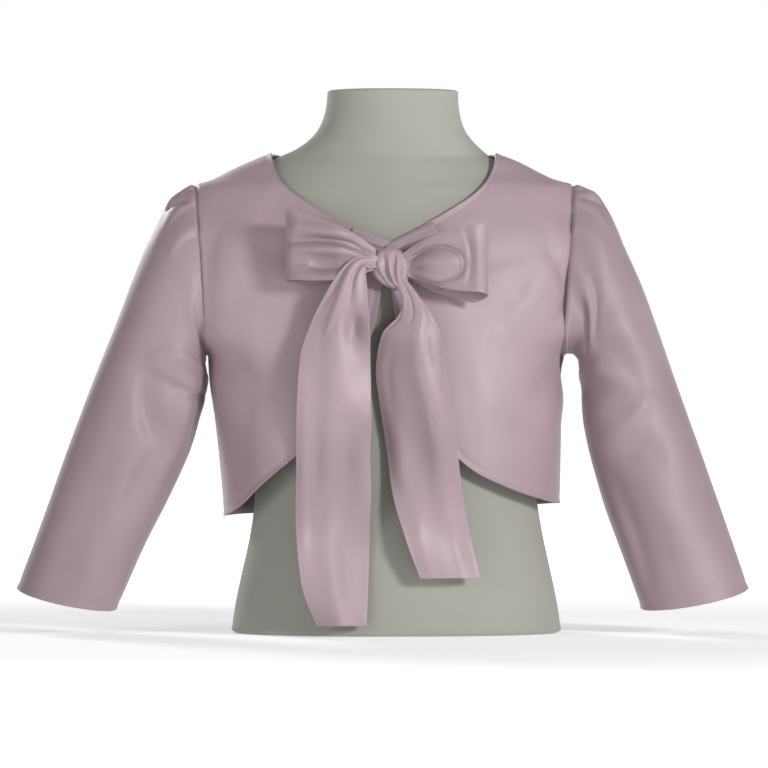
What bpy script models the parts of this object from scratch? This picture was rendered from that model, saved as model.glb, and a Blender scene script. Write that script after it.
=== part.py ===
"""A toddler's satin bolero jacket on a limbless dress form.

Long set-in sleeves with a pleated head, cutaway fronts that meet only at the neck, and a wide
ribbon tied there in a bow with two long tails. Metres, +Z up. The front faces -Y, and left and
right are the wearer's, so the right side is at -X. The form stands on z = 0, and the jacket's
side seams and shoulder seams lie in the plane y = 0.
"""

import math

import bmesh
import bpy
import numpy as np

# Driving dimensions
CLOTH = 0.0014  # satin and lining together
RIBBON = 0.0012  # the sash ribbon
SEAM = 0.0006  # gap between two pieces along a seam
SIDES = {"right": -1, "left": 1}

# The jacket's body, level by level: half width to each side, depth to front and back, and how
# far the section bulges between its axes. Between underarm and shoulder the half width is that
# of the whole shoulder, which the armholes cut off.
BODY_COLUMNS = ("height", "right", "left", "front", "back", "bulge")
BODY_ROWS = (
    (0.060, 0.1025, 0.1090, 0.0830, 0.0710, 0.05),
    (0.078, 0.1032, 0.1100, 0.0822, 0.0705, 0.05),
    (0.110, 0.1060, 0.1110, 0.0805, 0.0695, 0.05),
    (0.150, 0.1102, 0.1118, 0.0775, 0.0685, 0.05),
    (0.176, 0.1132, 0.1126, 0.0745, 0.0675, 0.04),
    (0.190, 0.1275, 0.1270, 0.0727, 0.0665, 0.03),
    (0.205, 0.1355, 0.1350, 0.0708, 0.0650, 0.02),
    (0.230, 0.1400, 0.1395, 0.0670, 0.0620, 0.01),
    (0.252, 0.1370, 0.1360, 0.0622, 0.0580, 0.00),
    (0.270, 0.1310, 0.1290, 0.0562, 0.0535, -0.03),
    (0.285, 0.1215, 0.1190, 0.0500, 0.0485, -0.06),
    (0.2893, 0.1098, 0.1060, 0.0481, 0.0467, -0.075),
    (0.293, 0.1030, 0.0985, 0.0465, 0.0452, -0.08),
    (0.301, 0.0850, 0.0830, 0.0435, 0.0422, -0.07),
    (0.306, 0.0725, 0.0693, 0.0410, 0.0400, -0.05),
)
UNDERARM = 0.176
SHOULDER = 0.285
NECK_POINT = {"right": 0.0730, "left": 0.0698}  # half width where shoulder seam meets neck

# Cut lines as seen from the front: distance from the centre line, height
NECKLINE = (
    (0.0008, 0.2475),
    (0.0100, 0.2508),
    (0.0250, 0.2592),
    (0.0430, 0.2695),
    (0.0585, 0.2802),
    (0.0672, 0.2905),
    (0.0703, 0.2995),
    (0.0714, 0.3058),
)
BACK_NECKLINE = ((0.0, 0.2982), (0.0300, 0.2990), (0.0550, 0.3018), (0.0714, 0.3058))
FRONT_EDGE = {
    "right": (
        (0.0008, 0.2475),
        (0.0035, 0.2150),
        (0.0105, 0.1850),
        (0.0215, 0.1580),
        (0.0375, 0.1320),
        (0.0561, 0.1129),
        (0.0700, 0.1020),
        (0.0830, 0.0908),
        (0.0940, 0.0805),
        (0.1032, 0.0745),
    ),
    "left": (
        (0.0008, 0.2475),
        (0.0035, 0.2150),
        (0.0095, 0.1850),
        (0.0185, 0.1560),
        (0.0285, 0.1335),
        (0.0405, 0.1165),
        (0.0560, 0.1030),
        (0.0760, 0.0935),
        (0.0950, 0.0868),
        (0.1102, 0.0824),
    ),
}
BACK_HEM = 0.0765  # height of the hem at the centre of the back

# Sleeves, from the armhole to the cuff: the line over the arm and the line under it, as
# distance from the centre line and height, half the sleeve's depth, how far its middle lies
# forward, and how much of the armhole's own shape is left in the section.
SLEEVE_COLUMNS = (
    "along",
    "over_out",
    "over_up",
    "under_out",
    "under_up",
    "half_depth",
    "forward",
    "armhole_share",
)
SLEEVE_ROWS = {
    "right": (
        (0.000, 0.1226, 0.2848, 0.1140, 0.1774, 0.0366, 0.0000, 1.00),
        (0.030, 0.1282, 0.2822, 0.1149, 0.1782, 0.0376, 0.0002, 0.80),
        (0.070, 0.1372, 0.2738, 0.1155, 0.1774, 0.0390, 0.0005, 0.50),
        (0.120, 0.1454, 0.2606, 0.1154, 0.1742, 0.0402, 0.0008, 0.25),
        (0.180, 0.1532, 0.2450, 0.1151, 0.1690, 0.0408, 0.0010, 0.08),
        (0.260, 0.1620, 0.2235, 0.1150, 0.1620, 0.0405, 0.0015, 0.00),
        (0.350, 0.1711, 0.1990, 0.1156, 0.1520, 0.0392, 0.0020, 0.00),
        (0.450, 0.1809, 0.1735, 0.1197, 0.1380, 0.0374, 0.0030, 0.00),
        (0.560, 0.1917, 0.1455, 0.1247, 0.1195, 0.0358, 0.0040, 0.00),
        (0.700, 0.2061, 0.1085, 0.1387, 0.0870, 0.0338, 0.0055, 0.00),
        (0.850, 0.2200, 0.0695, 0.1552, 0.0545, 0.0320, 0.0070, 0.00),
        (1.000, 0.2346, 0.0286, 0.1728, 0.0160, 0.0302, 0.0085, 0.00),
    ),
    "left": (
        (0.000, 0.1201, 0.2848, 0.1134, 0.1774, 0.0366, 0.0000, 1.00),
        (0.030, 0.1276, 0.2822, 0.1155, 0.1787, 0.0376, 0.0002, 0.80),
        (0.070, 0.1370, 0.2745, 0.1190, 0.1789, 0.0390, 0.0005, 0.50),
        (0.120, 0.1455, 0.2618, 0.1218, 0.1768, 0.0402, 0.0008, 0.25),
        (0.180, 0.1522, 0.2455, 0.1234, 0.1722, 0.0408, 0.0010, 0.08),
        (0.260, 0.1618, 0.2235, 0.1242, 0.1645, 0.0405, 0.0015, 0.00),
        (0.350, 0.1708, 0.1990, 0.1247, 0.1545, 0.0392, 0.0020, 0.00),
        (0.450, 0.1800, 0.1735, 0.1259, 0.1400, 0.0374, 0.0030, 0.00),
        (0.560, 0.1898, 0.1455, 0.1292, 0.1210, 0.0358, 0.0040, 0.00),
        (0.700, 0.2029, 0.1085, 0.1376, 0.0890, 0.0338, 0.0055, 0.00),
        (0.850, 0.2165, 0.0695, 0.1492, 0.0560, 0.0320, 0.0070, 0.00),
        (1.000, 0.2305, 0.0286, 0.1632, 0.0160, 0.0302, 0.0085, 0.00),
    ),
}
CUFF_DROP = 0.0042  # the cuff's front edge hangs this much lower than its middle
PLEATS = (-38.0, -13.0, 13.0, 38.0)  # degrees round the sleeve head, front positive
PLEAT_DEPTH = 0.0016
PLEAT_LENGTH = 0.13  # share of the sleeve over which a pleat fades out

# The dress form, level by level, in the same columns as the jacket's body
FORM_ROWS = (
    (0.0000, 0.0964, 0.1096, 0.0715, 0.0690, 0.04),
    (0.0020, 0.0992, 0.1124, 0.0730, 0.0705, 0.04),
    (0.0380, 0.0929, 0.1061, 0.0742, 0.0690, 0.04),
    (0.0760, 0.0848, 0.0980, 0.0735, 0.0640, 0.04),
    (0.1100, 0.0834, 0.0946, 0.0718, 0.0600, 0.04),
    (0.1500, 0.0889, 0.0961, 0.0698, 0.0590, 0.04),
    (0.1900, 0.0984, 0.1016, 0.0685, 0.0610, 0.04),
    (0.2200, 0.1056, 0.1064, 0.0665, 0.0610, 0.03),
    (0.2450, 0.1109, 0.1101, 0.0622, 0.0580, 0.01),
    (0.2650, 0.1150, 0.1130, 0.0564, 0.0535, -0.02),
    (0.2800, 0.1177, 0.1153, 0.0500, 0.0485, -0.06),
    (0.2838, 0.1167, 0.1143, 0.0480, 0.0470, -0.07),
    (0.2870, 0.1090, 0.1060, 0.0470, 0.0458, -0.075),
    (0.2916, 0.1000, 0.0970, 0.0450, 0.0440, -0.085),
    (0.2996, 0.0832, 0.0812, 0.0420, 0.0398, -0.09),
    (0.3042, 0.0690, 0.0676, 0.0395, 0.0372, -0.08),
    (0.3085, 0.0586, 0.0618, 0.0386, 0.0368, -0.05),
    (0.3140, 0.0504, 0.0560, 0.0378, 0.0376, -0.01),
    (0.3200, 0.0446, 0.0514, 0.0372, 0.0376, 0.00),
    (0.3277, 0.0407, 0.0483, 0.0368, 0.0378, 0.00),
    (0.3370, 0.0384, 0.0468, 0.0366, 0.0380, 0.00),
    (0.3450, 0.0378, 0.0464, 0.0365, 0.0380, 0.00),
    (0.3464, 0.0362, 0.0448, 0.0350, 0.0364, 0.00),
)
FORM_UNDER = 0.0014  # at least this far inside the middle of the jacket's cloth
FORM_BELOW = 0.0018  # and this far below it on the shoulders

# The bow, round its knot
KNOT = (0.0026, -0.0762, 0.2310)
KNOT_SIZE = (0.0125, 0.0076, 0.0130)  # half width, half depth, half height
KNOT_LEAN = 0.0045  # its lower end lies this much further to the left
KNOT_PLEATS = 5
LOOP_COLUMNS = ("along", "reach", "forward", "half_width")
LOOP_ROWS = (
    (0.00, 0.000, 0.0030, 0.0065),
    (0.12, 0.160, 0.0062, 0.0110),
    (0.28, 0.470, 0.0120, 0.0175),
    (0.42, 0.820, 0.0122, 0.0212),
    (0.47, 0.955, 0.0098, 0.0219),
    (0.50, 1.000, 0.0058, 0.0220),
    (0.53, 0.965, 0.0018, 0.0220),
    (0.60, 0.840, -0.0018, 0.0214),
    (0.75, 0.500, -0.0036, 0.0178),
    (0.90, 0.180, -0.0022, 0.0110),
    (1.00, 0.000, -0.0006, 0.0065),
)
# Each loop: where it leaves the knot, its length, the height of its middle there, how far its
# tip rises, and how far its back layer drops and widens
LOOP_ITEMS = ("root", "length", "height", "rise", "back_drop", "back_wide")
LOOPS = {
    "right": (-0.0104, 0.0524, 0.2375, 0.0092, 0.0006, 0.0),
    "left": (0.0156, 0.0481, 0.2345, 0.0040, 0.0042, 0.0014),
}
# The tails, from the knot to the end: middle of the ribbon as distance to the left, distance
# forward and height, half its width, how far its edges curl back, and a soft fold's height
TAIL_COLUMNS = ("along", "across", "depth", "height", "half_width", "cup", "fold")
TAIL_ROWS = {
    "right": (
        (0.00, -0.0078, 0.0817, 0.2364, 0.0032, 0.0000, 0.0000),
        (0.03, -0.0140, 0.0856, 0.2354, 0.0048, 0.0004, 0.0000),
        (0.07, -0.0205, 0.0908, 0.2290, 0.0082, 0.0010, 0.0004),
        (0.13, -0.0243, 0.0926, 0.2170, 0.0125, 0.0020, 0.0010),
        (0.22, -0.0288, 0.0908, 0.1965, 0.0181, 0.0030, 0.0016),
        (0.32, -0.0319, 0.0890, 0.1750, 0.0217, 0.0032, 0.0018),
        (0.46, -0.0326, 0.0890, 0.1420, 0.0232, 0.0028, 0.0014),
        (0.62, -0.0326, 0.0892, 0.1040, 0.0235, 0.0024, 0.0012),
        (0.76, -0.0334, 0.0886, 0.0690, 0.0230, 0.0026, 0.0014),
        (0.90, -0.0322, 0.0872, 0.0340, 0.0209, 0.0034, 0.0016),
        (1.00, -0.0296, 0.0860, 0.0070, 0.0170, 0.0044, 0.0014),
    ),
    "left": (
        (0.00, 0.0108, 0.0806, 0.2206, 0.0028, 0.0000, 0.0000),
        (0.05, 0.0160, 0.0828, 0.2110, 0.0052, 0.0006, 0.0002),
        (0.11, 0.0180, 0.0852, 0.2015, 0.0100, 0.0018, 0.0010),
        (0.18, 0.0158, 0.0868, 0.1900, 0.0182, 0.0030, 0.0018),
        (0.29, 0.0152, 0.0878, 0.1700, 0.0214, 0.0034, 0.0026),
        (0.42, 0.0190, 0.0886, 0.1450, 0.0227, 0.0030, 0.0028),
        (0.57, 0.0228, 0.0890, 0.1180, 0.0222, 0.0026, 0.0024),
        (0.72, 0.0260, 0.0888, 0.0900, 0.0218, 0.0024, 0.0018),
        (0.87, 0.0328, 0.0878, 0.0610, 0.0204, 0.0028, 0.0014),
        (1.00, 0.0402, 0.0868, 0.0370, 0.0188, 0.0030, 0.0010),
    ),
}
TURN_END = 0.1  # share of a tail over which it turns down
FOLD_AT = {"right": -0.1, "left": 0.45}  # share of the half width
# Each tie: a short gathered strip from the neck corner of its front to the back of the knot
TIES = {
    "right": {"out": 0.0225, "in": 0.0048, "up_out": 0.2505, "up_in": 0.2400, "tip": 0.0078},
    "left": {"out": 0.0320, "in": 0.0170, "up_out": 0.2530, "up_in": 0.2420, "tip": 0.0078},
}

# Mesh sizes: columns across by rows along
FRONT_GRID = (12, 18)
BACK_GRID = (24, 18)
SLEEVE_GRID = (28, 19)
FORM_GRID = (32, 26)
LOOP_GRID = (6, 22)
TAIL_GRID = (6, 20)
TIE_GRID = (6, 5)

COLOURS = {
    "satin": ((0.43, 0.31, 0.345), 0.42),
    "ribbon": ((0.46, 0.335, 0.37), 0.36),
    "form": ((0.50, 0.485, 0.44), 0.80),
}


class Profile:
    """Named columns that change smoothly along the first one, with no overshoot."""

    def __init__(self, columns, rows):
        table = np.array(rows, float)
        self.columns = columns[1:]
        self.stations = table[:, 0]
        self.values = table[:, 1:]
        slope = np.diff(self.values, axis=0) / np.diff(self.stations)[:, None]
        before, after = slope[:-1], slope[1:]
        turns = before * after <= 0
        total = np.where(turns, 1.0, before + after)
        inner = np.where(turns, 0.0, 2 * before * after / total)
        self.tangents = np.vstack((slope[:1], inner, slope[-1:]))

    def row(self, at):
        """The columns' values at one station, in order."""
        at = min(max(at, self.stations[0]), self.stations[-1])
        i = int(np.searchsorted(self.stations, at, side="right")) - 1
        i = min(max(i, 0), len(self.stations) - 2)
        step = self.stations[i + 1] - self.stations[i]
        t = (at - self.stations[i]) / step
        return (
            (2 * t**3 - 3 * t**2 + 1) * self.values[i]
            + (t**3 - 2 * t**2 + t) * step * self.tangents[i]
            + (3 * t**2 - 2 * t**3) * self.values[i + 1]
            + (t**3 - t**2) * step * self.tangents[i + 1]
        )

    def at(self, station):
        """The columns' values at one station, by name."""
        return dict(zip(self.columns, self.row(station)))


class Line:
    """A smooth line through a few points, read by the share of its length."""

    def __init__(self, points):
        points = np.array(points, float)
        steps = np.linalg.norm(np.diff(points, axis=0), axis=1)
        self.length = steps.sum()
        gone = np.concatenate(([0.0], np.cumsum(steps)))
        names = ("gone",) + tuple(range(points.shape[1]))
        self.profile = Profile(names, np.column_stack((gone, points)))

    def at(self, share):
        return self.profile.row(share * self.length)


BODY = Profile(BODY_COLUMNS, BODY_ROWS)
FORM = Profile(BODY_COLUMNS, FORM_ROWS)


# The jacket's body surface


def bulge(amount, angle):
    """How far a section swells between its two axes."""
    return 1 + amount * math.sin(2 * angle) ** 2


def depth_at(side, face, out, up):
    """Distance in front of or behind the side seams at a place seen from the front."""
    level = BODY.at(up)
    half = level[side]
    low, high = 0.0, math.pi / 2
    if out >= half:
        return 0.0
    for _ in range(30):
        angle = (low + high) / 2
        if half * math.sin(angle) * bulge(level["bulge"], angle) < out:
            low = angle
        else:
            high = angle
    return level[face] * math.cos(low) * bulge(level["bulge"], low)


def body_point(side, face, out, up):
    """The point of the jacket's body there, in world coordinates."""
    away = depth_at(side, face, abs(out), up) + SEAM / 2
    return (SIDES[side] * out, -away if face == "front" else away, up)


def shoulder_height(side, out):
    """Height of the shoulder seam at a distance from the centre line."""
    low, high = SHOULDER, BODY_ROWS[-1][0]
    for _ in range(30):
        up = (low + high) / 2
        if BODY.at(up)[side] > out:
            low = up
        else:
            high = up
    return low


def armhole_out(side, up):
    """Distance of the armhole seam from the centre line at a height."""
    share = (up - UNDERARM) / (SHOULDER - UNDERARM)
    low, high = BODY.at(UNDERARM)[side], BODY.at(SHOULDER)[side]
    return low + (high - low) * min(max(share, 0.0), 1.0)


def side_line(side, hem, share):
    """Up the side seam from the hem, then up the armhole to the shoulder: out, up."""
    seam_share = 0.42
    if share < seam_share:
        up = hem + (UNDERARM - hem) * share / seam_share
        return np.array((BODY.at(up)[side], up))
    turn = math.pi * (share - seam_share) / (1 - seam_share)
    up = (UNDERARM + SHOULDER) / 2 - (SHOULDER - UNDERARM) / 2 * math.cos(turn)
    return np.array((armhole_out(side, up), up))


def patch(bottom, top, start, end, across, along, rows_share):
    """A four-sided patch between its border lines, which meet at their ends."""
    lofted = (1 - along) * bottom(across) + along * top(across)
    sided = (1 - across) * start(rows_share) + across * end(rows_share)
    corners = (1 - across) * ((1 - along) * bottom(0.0) + along * top(0.0))
    corners = corners + across * ((1 - along) * bottom(1.0) + along * top(1.0))
    return lofted + sided - corners


def eased(share):
    """Closes up towards 1, where the surface turns over a seam."""
    return math.sin(share * math.pi / 2)


def front_point(side, u, v):
    """A point of a front panel: u from its front edge to the side, v from hem to shoulder."""
    edge = Line(FRONT_EDGE[side])
    hem = FRONT_EDGE[side][-1][1]
    reach = NECK_POINT[side] / NECKLINE[-1][0]
    neck = Line([(out * reach, up) for out, up in NECKLINE])
    corner = edge.at(1.0)

    def bottom(share):
        out, up = edge.at(share)
        return np.array((out + share**8 * (BODY.at(up)[side] - corner[0]), up))

    def top(share):
        far = BODY.at(SHOULDER)[side]
        out = NECK_POINT[side] + (far - NECK_POINT[side]) * share
        return np.array((out, shoulder_height(side, out)))

    def start(share):
        return neck.at(eased(share))

    def end(share):
        return side_line(side, hem, share)

    out, up = patch(bottom, top, start, end, eased(u), eased(v), v)
    return body_point(side, "front", out, up)


def back_point(u, v):
    """A point of the back panel: u from the right side to the left, v from hem to neck."""
    quarter = math.sin(math.pi / 4)
    swing = math.sin(math.pi * (u - 0.5))
    side = "right" if swing < 0 else "left"
    hem = {name: FRONT_EDGE[name][-1][1] for name in SIDES}
    neck = Line(BACK_NECKLINE)

    def top(name, share):
        far = BODY.at(SHOULDER)[name]
        near = NECK_POINT[name]
        if share > quarter:
            out = near + (far - near) * (share - quarter) / (1 - quarter)
            return np.array((out, shoulder_height(name, out)))
        flat = share / quarter * BACK_NECKLINE[-1][0]
        spread = near / BACK_NECKLINE[-1][0]
        ups = Profile(("out", "up"), BACK_NECKLINE).row(flat)
        return np.array((flat * spread, ups[0]))

    def bottom(name, share):
        up = BACK_HEM + (hem[name] - BACK_HEM) * share**2
        return np.array((share * BODY.at(up)[name], up))

    def start(share):
        low, high = bottom(side, 0.0), top(side, 0.0)
        return low + (high - low) * eased(share)

    def end(share):
        return side_line(side, hem[side], share)

    out, up = patch(
        lambda share: bottom(side, share),
        lambda share: top(side, share),
        start,
        end,
        abs(swing),
        eased(v),
        v,
    )
    return body_point(side, "back", out, up)


# The sleeves


def armhole_offset(side, turn):
    """How far the armhole seam departs from a plain ellipse, at an angle from its top."""
    middle, half = (UNDERARM + SHOULDER) / 2, (SHOULDER - UNDERARM) / 2
    up = middle + half * math.cos(turn)
    face = "front" if math.sin(turn) >= 0 else "back"
    out = armhole_out(side, up)
    away = depth_at(side, face, out, up)
    widest = SLEEVE_ROWS[side][0][5]
    return abs(away) - widest * abs(math.sin(turn))


def pleat_height(turn, along):
    """The tucks across the sleeve head, each a slow rise and a quick drop, fading down."""
    fade = max(0.0, 1 - along / PLEAT_LENGTH)
    degrees = math.degrees(math.atan2(math.sin(turn), math.cos(turn)))
    height = 0.0
    for pleat in PLEATS:
        gone = (pleat - degrees) * math.copysign(1, pleat)
        if 0 <= gone < 20:
            height = max(height, 1 - gone / 20)
    return PLEAT_DEPTH * height * fade**0.5 * min(1.0, along / 0.012)


def sleeve_point(side, turn, along):
    """A point of a sleeve, at an angle round it from its top, front first."""
    profile = Profile(SLEEVE_COLUMNS, SLEEVE_ROWS[side])
    ring = profile.at(along)
    over = np.array((ring["over_out"], 0.0, ring["over_up"]))
    under = np.array((ring["under_out"], 0.0, ring["under_up"]))
    top, front = math.cos(turn), math.sin(turn)
    swell = bulge(0.03 * min(1.0, along * 4), turn)
    half_depth = ring["half_depth"]
    point = (over + under) / 2 + (over - under) / 2 * top * swell
    point[1] = -ring["forward"] - half_depth * front * swell
    point[1] -= math.copysign(1, front) * ring["armhole_share"] * armhole_offset(side, turn)
    point[2] -= CUFF_DROP * front * along**3
    lift = pleat_height(turn, along)
    outward = np.array((0.45, -front, max(top, 0.2)))
    point += lift * outward / np.linalg.norm(outward)
    return (SIDES[side] * point[0], point[1], point[2])


# The dress form


def form_level(up):
    """The form's section at a height, kept under the jacket where the jacket covers it."""
    level = FORM.at(up)
    if BODY_ROWS[0][0] < up < BODY_ROWS[-1][0] - FORM_BELOW:
        cloth = BODY.at(up + FORM_BELOW)
        for name in ("right", "left", "front", "back"):
            level[name] = min(level[name], cloth[name] - FORM_UNDER)
        level["bulge"] = min(level["bulge"], cloth["bulge"])
    return level


def form_point(turn, up):
    """A point of the form's surface, at an angle round it from the middle of the front."""
    level = form_level(up)
    swell = bulge(level["bulge"], turn)
    half = level["left"] if math.sin(turn) > 0 else level["right"]
    depth = level["front"] if math.cos(turn) > 0 else level["back"]
    return (half * math.sin(turn) * swell, -depth * math.cos(turn) * swell, up)


# The bow


def loop_point(side, across, along):
    """A point of a bow loop: out along its front layer, round the tip and back."""
    row = Profile(LOOP_COLUMNS, LOOP_ROWS).at(along)
    loop = dict(zip(LOOP_ITEMS, LOOPS[side]))
    tip = row["reach"]
    behind = tip * max(0.0, min(1.0, (along - 0.45) / 0.15))
    middle = loop["height"] + loop["rise"] * tip - loop["back_drop"] * behind
    half = row["half_width"] + loop["back_wide"] * behind
    ripple = 0.0016 * (1 - tip) * math.cos(across * 3 * math.pi) * min(1.0, tip * 5)
    return (
        loop["root"] + SIDES[side] * loop["length"] * tip,
        KNOT[1] - row["forward"] - ripple,
        middle + half * across,
    )


def tail_point(side, across, along):
    """A point of a bow tail: it turns down from the knot as it widens, its edges curled back."""
    tail = Profile(TAIL_COLUMNS, TAIL_ROWS[side])
    row = tail.at(along)
    before, after = tail.at(along - 0.01), tail.at(along + 0.01)
    run = np.array((after["across"] - before["across"], after["height"] - before["height"]))
    run = run / np.linalg.norm(run)
    turned = max(0.0, 1 - along / TURN_END)
    width_out = 1 + (-run[1] - 1) * turned
    width_up = run[0] * turned
    fold = row["fold"] * math.exp(-(((across - FOLD_AT[side]) / 0.3) ** 2))
    return (
        row["across"] + row["half_width"] * across * width_out,
        -row["depth"] + row["cup"] * (across**2 - 0.5) - fold,
        row["height"] + row["half_width"] * across * width_up,
    )


def tie_point(side, across, along):
    """A point of a tie, laid on its front panel."""
    tie = TIES[side]
    start = np.array((tie["out"], tie["up_out"]))
    end = np.array((tie["in"], tie["up_in"]))
    run = end - start
    normal = np.array((-run[1], run[0])) / np.linalg.norm(run)
    half = tie["tip"] * (0.8 - 0.25 * along)
    out, up = start + run * along + normal * half * across
    away = depth_at(side, "front", out, up) + SEAM / 2 + (CLOTH + RIBBON) / 2 + 0.0005
    away += 0.0006 * (1 + math.cos(across * 3 * math.pi))
    return (SIDES[side] * out, -away, up)


# Making the objects


def material(name):
    """The plain material of one finish, made once."""
    found = bpy.data.materials.get(name)
    if found:
        return found
    made = bpy.data.materials.new(name)
    made.use_nodes = True
    colour, roughness = COLOURS[name]
    shader = made.node_tree.nodes["Principled BSDF"]
    shader.inputs["Base Color"].default_value = (*colour, 1.0)
    shader.inputs["Roughness"].default_value = roughness
    shader.inputs["Metallic"].default_value = 0.0
    return made


def add_object(name, work, finish, parent):
    """A named object made from a bmesh, with its material, under the part's empty."""
    mesh = bpy.data.meshes.new(name)
    work.to_mesh(mesh)
    work.free()
    mesh.shade_smooth()
    mesh.materials.append(material(finish))
    piece = bpy.data.objects.new(name, mesh)
    piece.parent = parent
    parent.users_collection[0].objects.link(piece)
    return piece


def mapped_grid(columns, rows, place, closed=False):
    """A grid laid on a surface: place(u, v) gives the point at shares u across and v along."""
    work = bmesh.new()
    bmesh.ops.create_grid(work, x_segments=columns, y_segments=rows, size=0.5)
    for vertex in work.verts:
        u, v = round(vertex.co.x + 0.5, 6), round(vertex.co.y + 0.5, 6)
        vertex.co = place(u, v)
    if closed:
        bmesh.ops.remove_doubles(work, verts=work.verts, dist=0.00002)
    return work


def add_cloth(name, work, thickness, finish, parent):
    """A cloth wall: the laid sheet, thickened evenly to both sides."""
    bmesh.ops.recalc_face_normals(work, faces=work.faces)
    piece = add_object(name, work, finish, parent)
    wall = piece.modifiers.new("wall", "SOLIDIFY")
    wall.thickness = thickness
    wall.offset = 0.0
    return piece


def add_fronts(parent):
    for side in SIDES:
        work = mapped_grid(*FRONT_GRID, lambda u, v: front_point(side, u, v))
        add_cloth(f"front_{side}", work, CLOTH, "satin", parent)


def add_back(parent):
    work = mapped_grid(*BACK_GRID, back_point)
    add_cloth("back", work, CLOTH, "satin", parent)


def add_sleeves(parent):
    for side in SIDES:

        def place(u, v):
            ring = v**1.15
            return sleeve_point(side, 2 * math.pi * u, ring)

        work = mapped_grid(*SLEEVE_GRID, place, closed=True)
        add_cloth(f"sleeve_{side}", work, CLOTH, "satin", parent)


def add_form(parent):
    """The form's skin, ring by ring, closed by its flat base and neck cap."""
    rows = FORM_GRID[1]
    levels = np.interp(
        np.linspace(0, 1, rows + 1),
        np.linspace(0, 1, len(FORM_ROWS)),
        [row[0] for row in FORM_ROWS],
    )

    def place(u, v):
        return form_point(2 * math.pi * u, levels[round(v * rows)])

    work = mapped_grid(*FORM_GRID, place, closed=True)
    rim = [edge for edge in work.edges if edge.is_boundary]
    bmesh.ops.holes_fill(work, edges=rim, sides=0)
    bmesh.ops.recalc_face_normals(work, faces=work.faces)
    add_object("dress_form", work, "form", parent)


def add_knot(parent):
    """The knot: a rounded wrap with pleats down its front."""
    work = bmesh.new()
    bmesh.ops.create_uvsphere(work, u_segments=20, v_segments=12, radius=1.0)
    for vertex in work.verts:
        x, y, z = vertex.co
        pleat = 1 + 0.05 * math.cos(KNOT_PLEATS * math.pi * x) * (1 - abs(z)) * (y < 0)
        waist = 1 - 0.22 * max(0.0, -z) ** 2
        vertex.co = (
            KNOT[0] + KNOT_SIZE[0] * x * waist + KNOT_LEAN * max(0.0, -z) ** 2,
            KNOT[1] + KNOT_SIZE[1] * y * pleat,
            KNOT[2] + KNOT_SIZE[2] * z,
        )
    add_object("bow_knot", work, "ribbon", parent)


def add_ribbons(parent):
    for side in SIDES:
        work = mapped_grid(*LOOP_GRID, lambda u, v: loop_point(side, 2 * u - 1, v))
        add_cloth(f"bow_loop_{side}", work, RIBBON, "ribbon", parent)
        work = mapped_grid(*TAIL_GRID, lambda u, v: tail_point(side, 2 * u - 1, v))
        add_cloth(f"bow_tail_{side}", work, RIBBON, "ribbon", parent)
        work = mapped_grid(*TIE_GRID, lambda u, v: tie_point(side, 2 * u - 1, v))
        add_cloth(f"tie_{side}", work, RIBBON, "ribbon", parent)


def main():
    for old in list(bpy.data.objects):
        bpy.data.objects.remove(old)
    collection = bpy.data.collections.new("bolero_on_dress_form")
    bpy.context.scene.collection.children.link(collection)
    part = bpy.data.objects.new("bolero_on_dress_form", None)
    collection.objects.link(part)
    add_form(part)
    add_back(part)
    add_fronts(part)
    add_sleeves(part)
    add_knot(part)
    add_ribbons(part)


main()
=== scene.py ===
"""The looks of the satin bolero on its dress form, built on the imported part.

Each piece of cloth is laid on the same surface as its solid, at a finer size, with its creases,
rolled edges and gathers added. Metres, +Z up, and the front faces -Y. Left and right are the
wearer's, so the right side is at -X.
"""

import math

import bmesh
import bpy
import numpy as np
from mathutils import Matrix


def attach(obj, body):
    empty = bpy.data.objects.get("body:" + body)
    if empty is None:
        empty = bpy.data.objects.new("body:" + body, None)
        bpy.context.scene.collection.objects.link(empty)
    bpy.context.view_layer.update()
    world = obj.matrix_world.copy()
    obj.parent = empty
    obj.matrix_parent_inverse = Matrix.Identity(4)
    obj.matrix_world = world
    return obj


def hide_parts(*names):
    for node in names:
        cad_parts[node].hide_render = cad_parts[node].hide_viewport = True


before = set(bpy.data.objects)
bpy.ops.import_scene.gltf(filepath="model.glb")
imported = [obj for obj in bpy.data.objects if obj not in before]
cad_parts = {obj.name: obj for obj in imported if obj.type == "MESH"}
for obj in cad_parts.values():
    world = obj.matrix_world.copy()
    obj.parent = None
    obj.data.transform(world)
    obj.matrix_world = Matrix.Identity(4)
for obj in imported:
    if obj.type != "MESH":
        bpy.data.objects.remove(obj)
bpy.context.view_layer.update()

# Cloth: thicknesses, and how its cut edges are rounded
CLOTH = 0.0012
RIBBON = 0.0008
EDGE_ROUND = 0.35  # share of the thickness
EDGE_STEPS = 2
SHARP = math.radians(60)
MERGE = 0.00001  # points of a seam or pole that are closer than this become one
SIDES = {"right": -1, "left": 1}
FORWARD = (0.0, -1.0, 0.0)
BACKWARD = (0.0, 1.0, 0.0)

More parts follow.
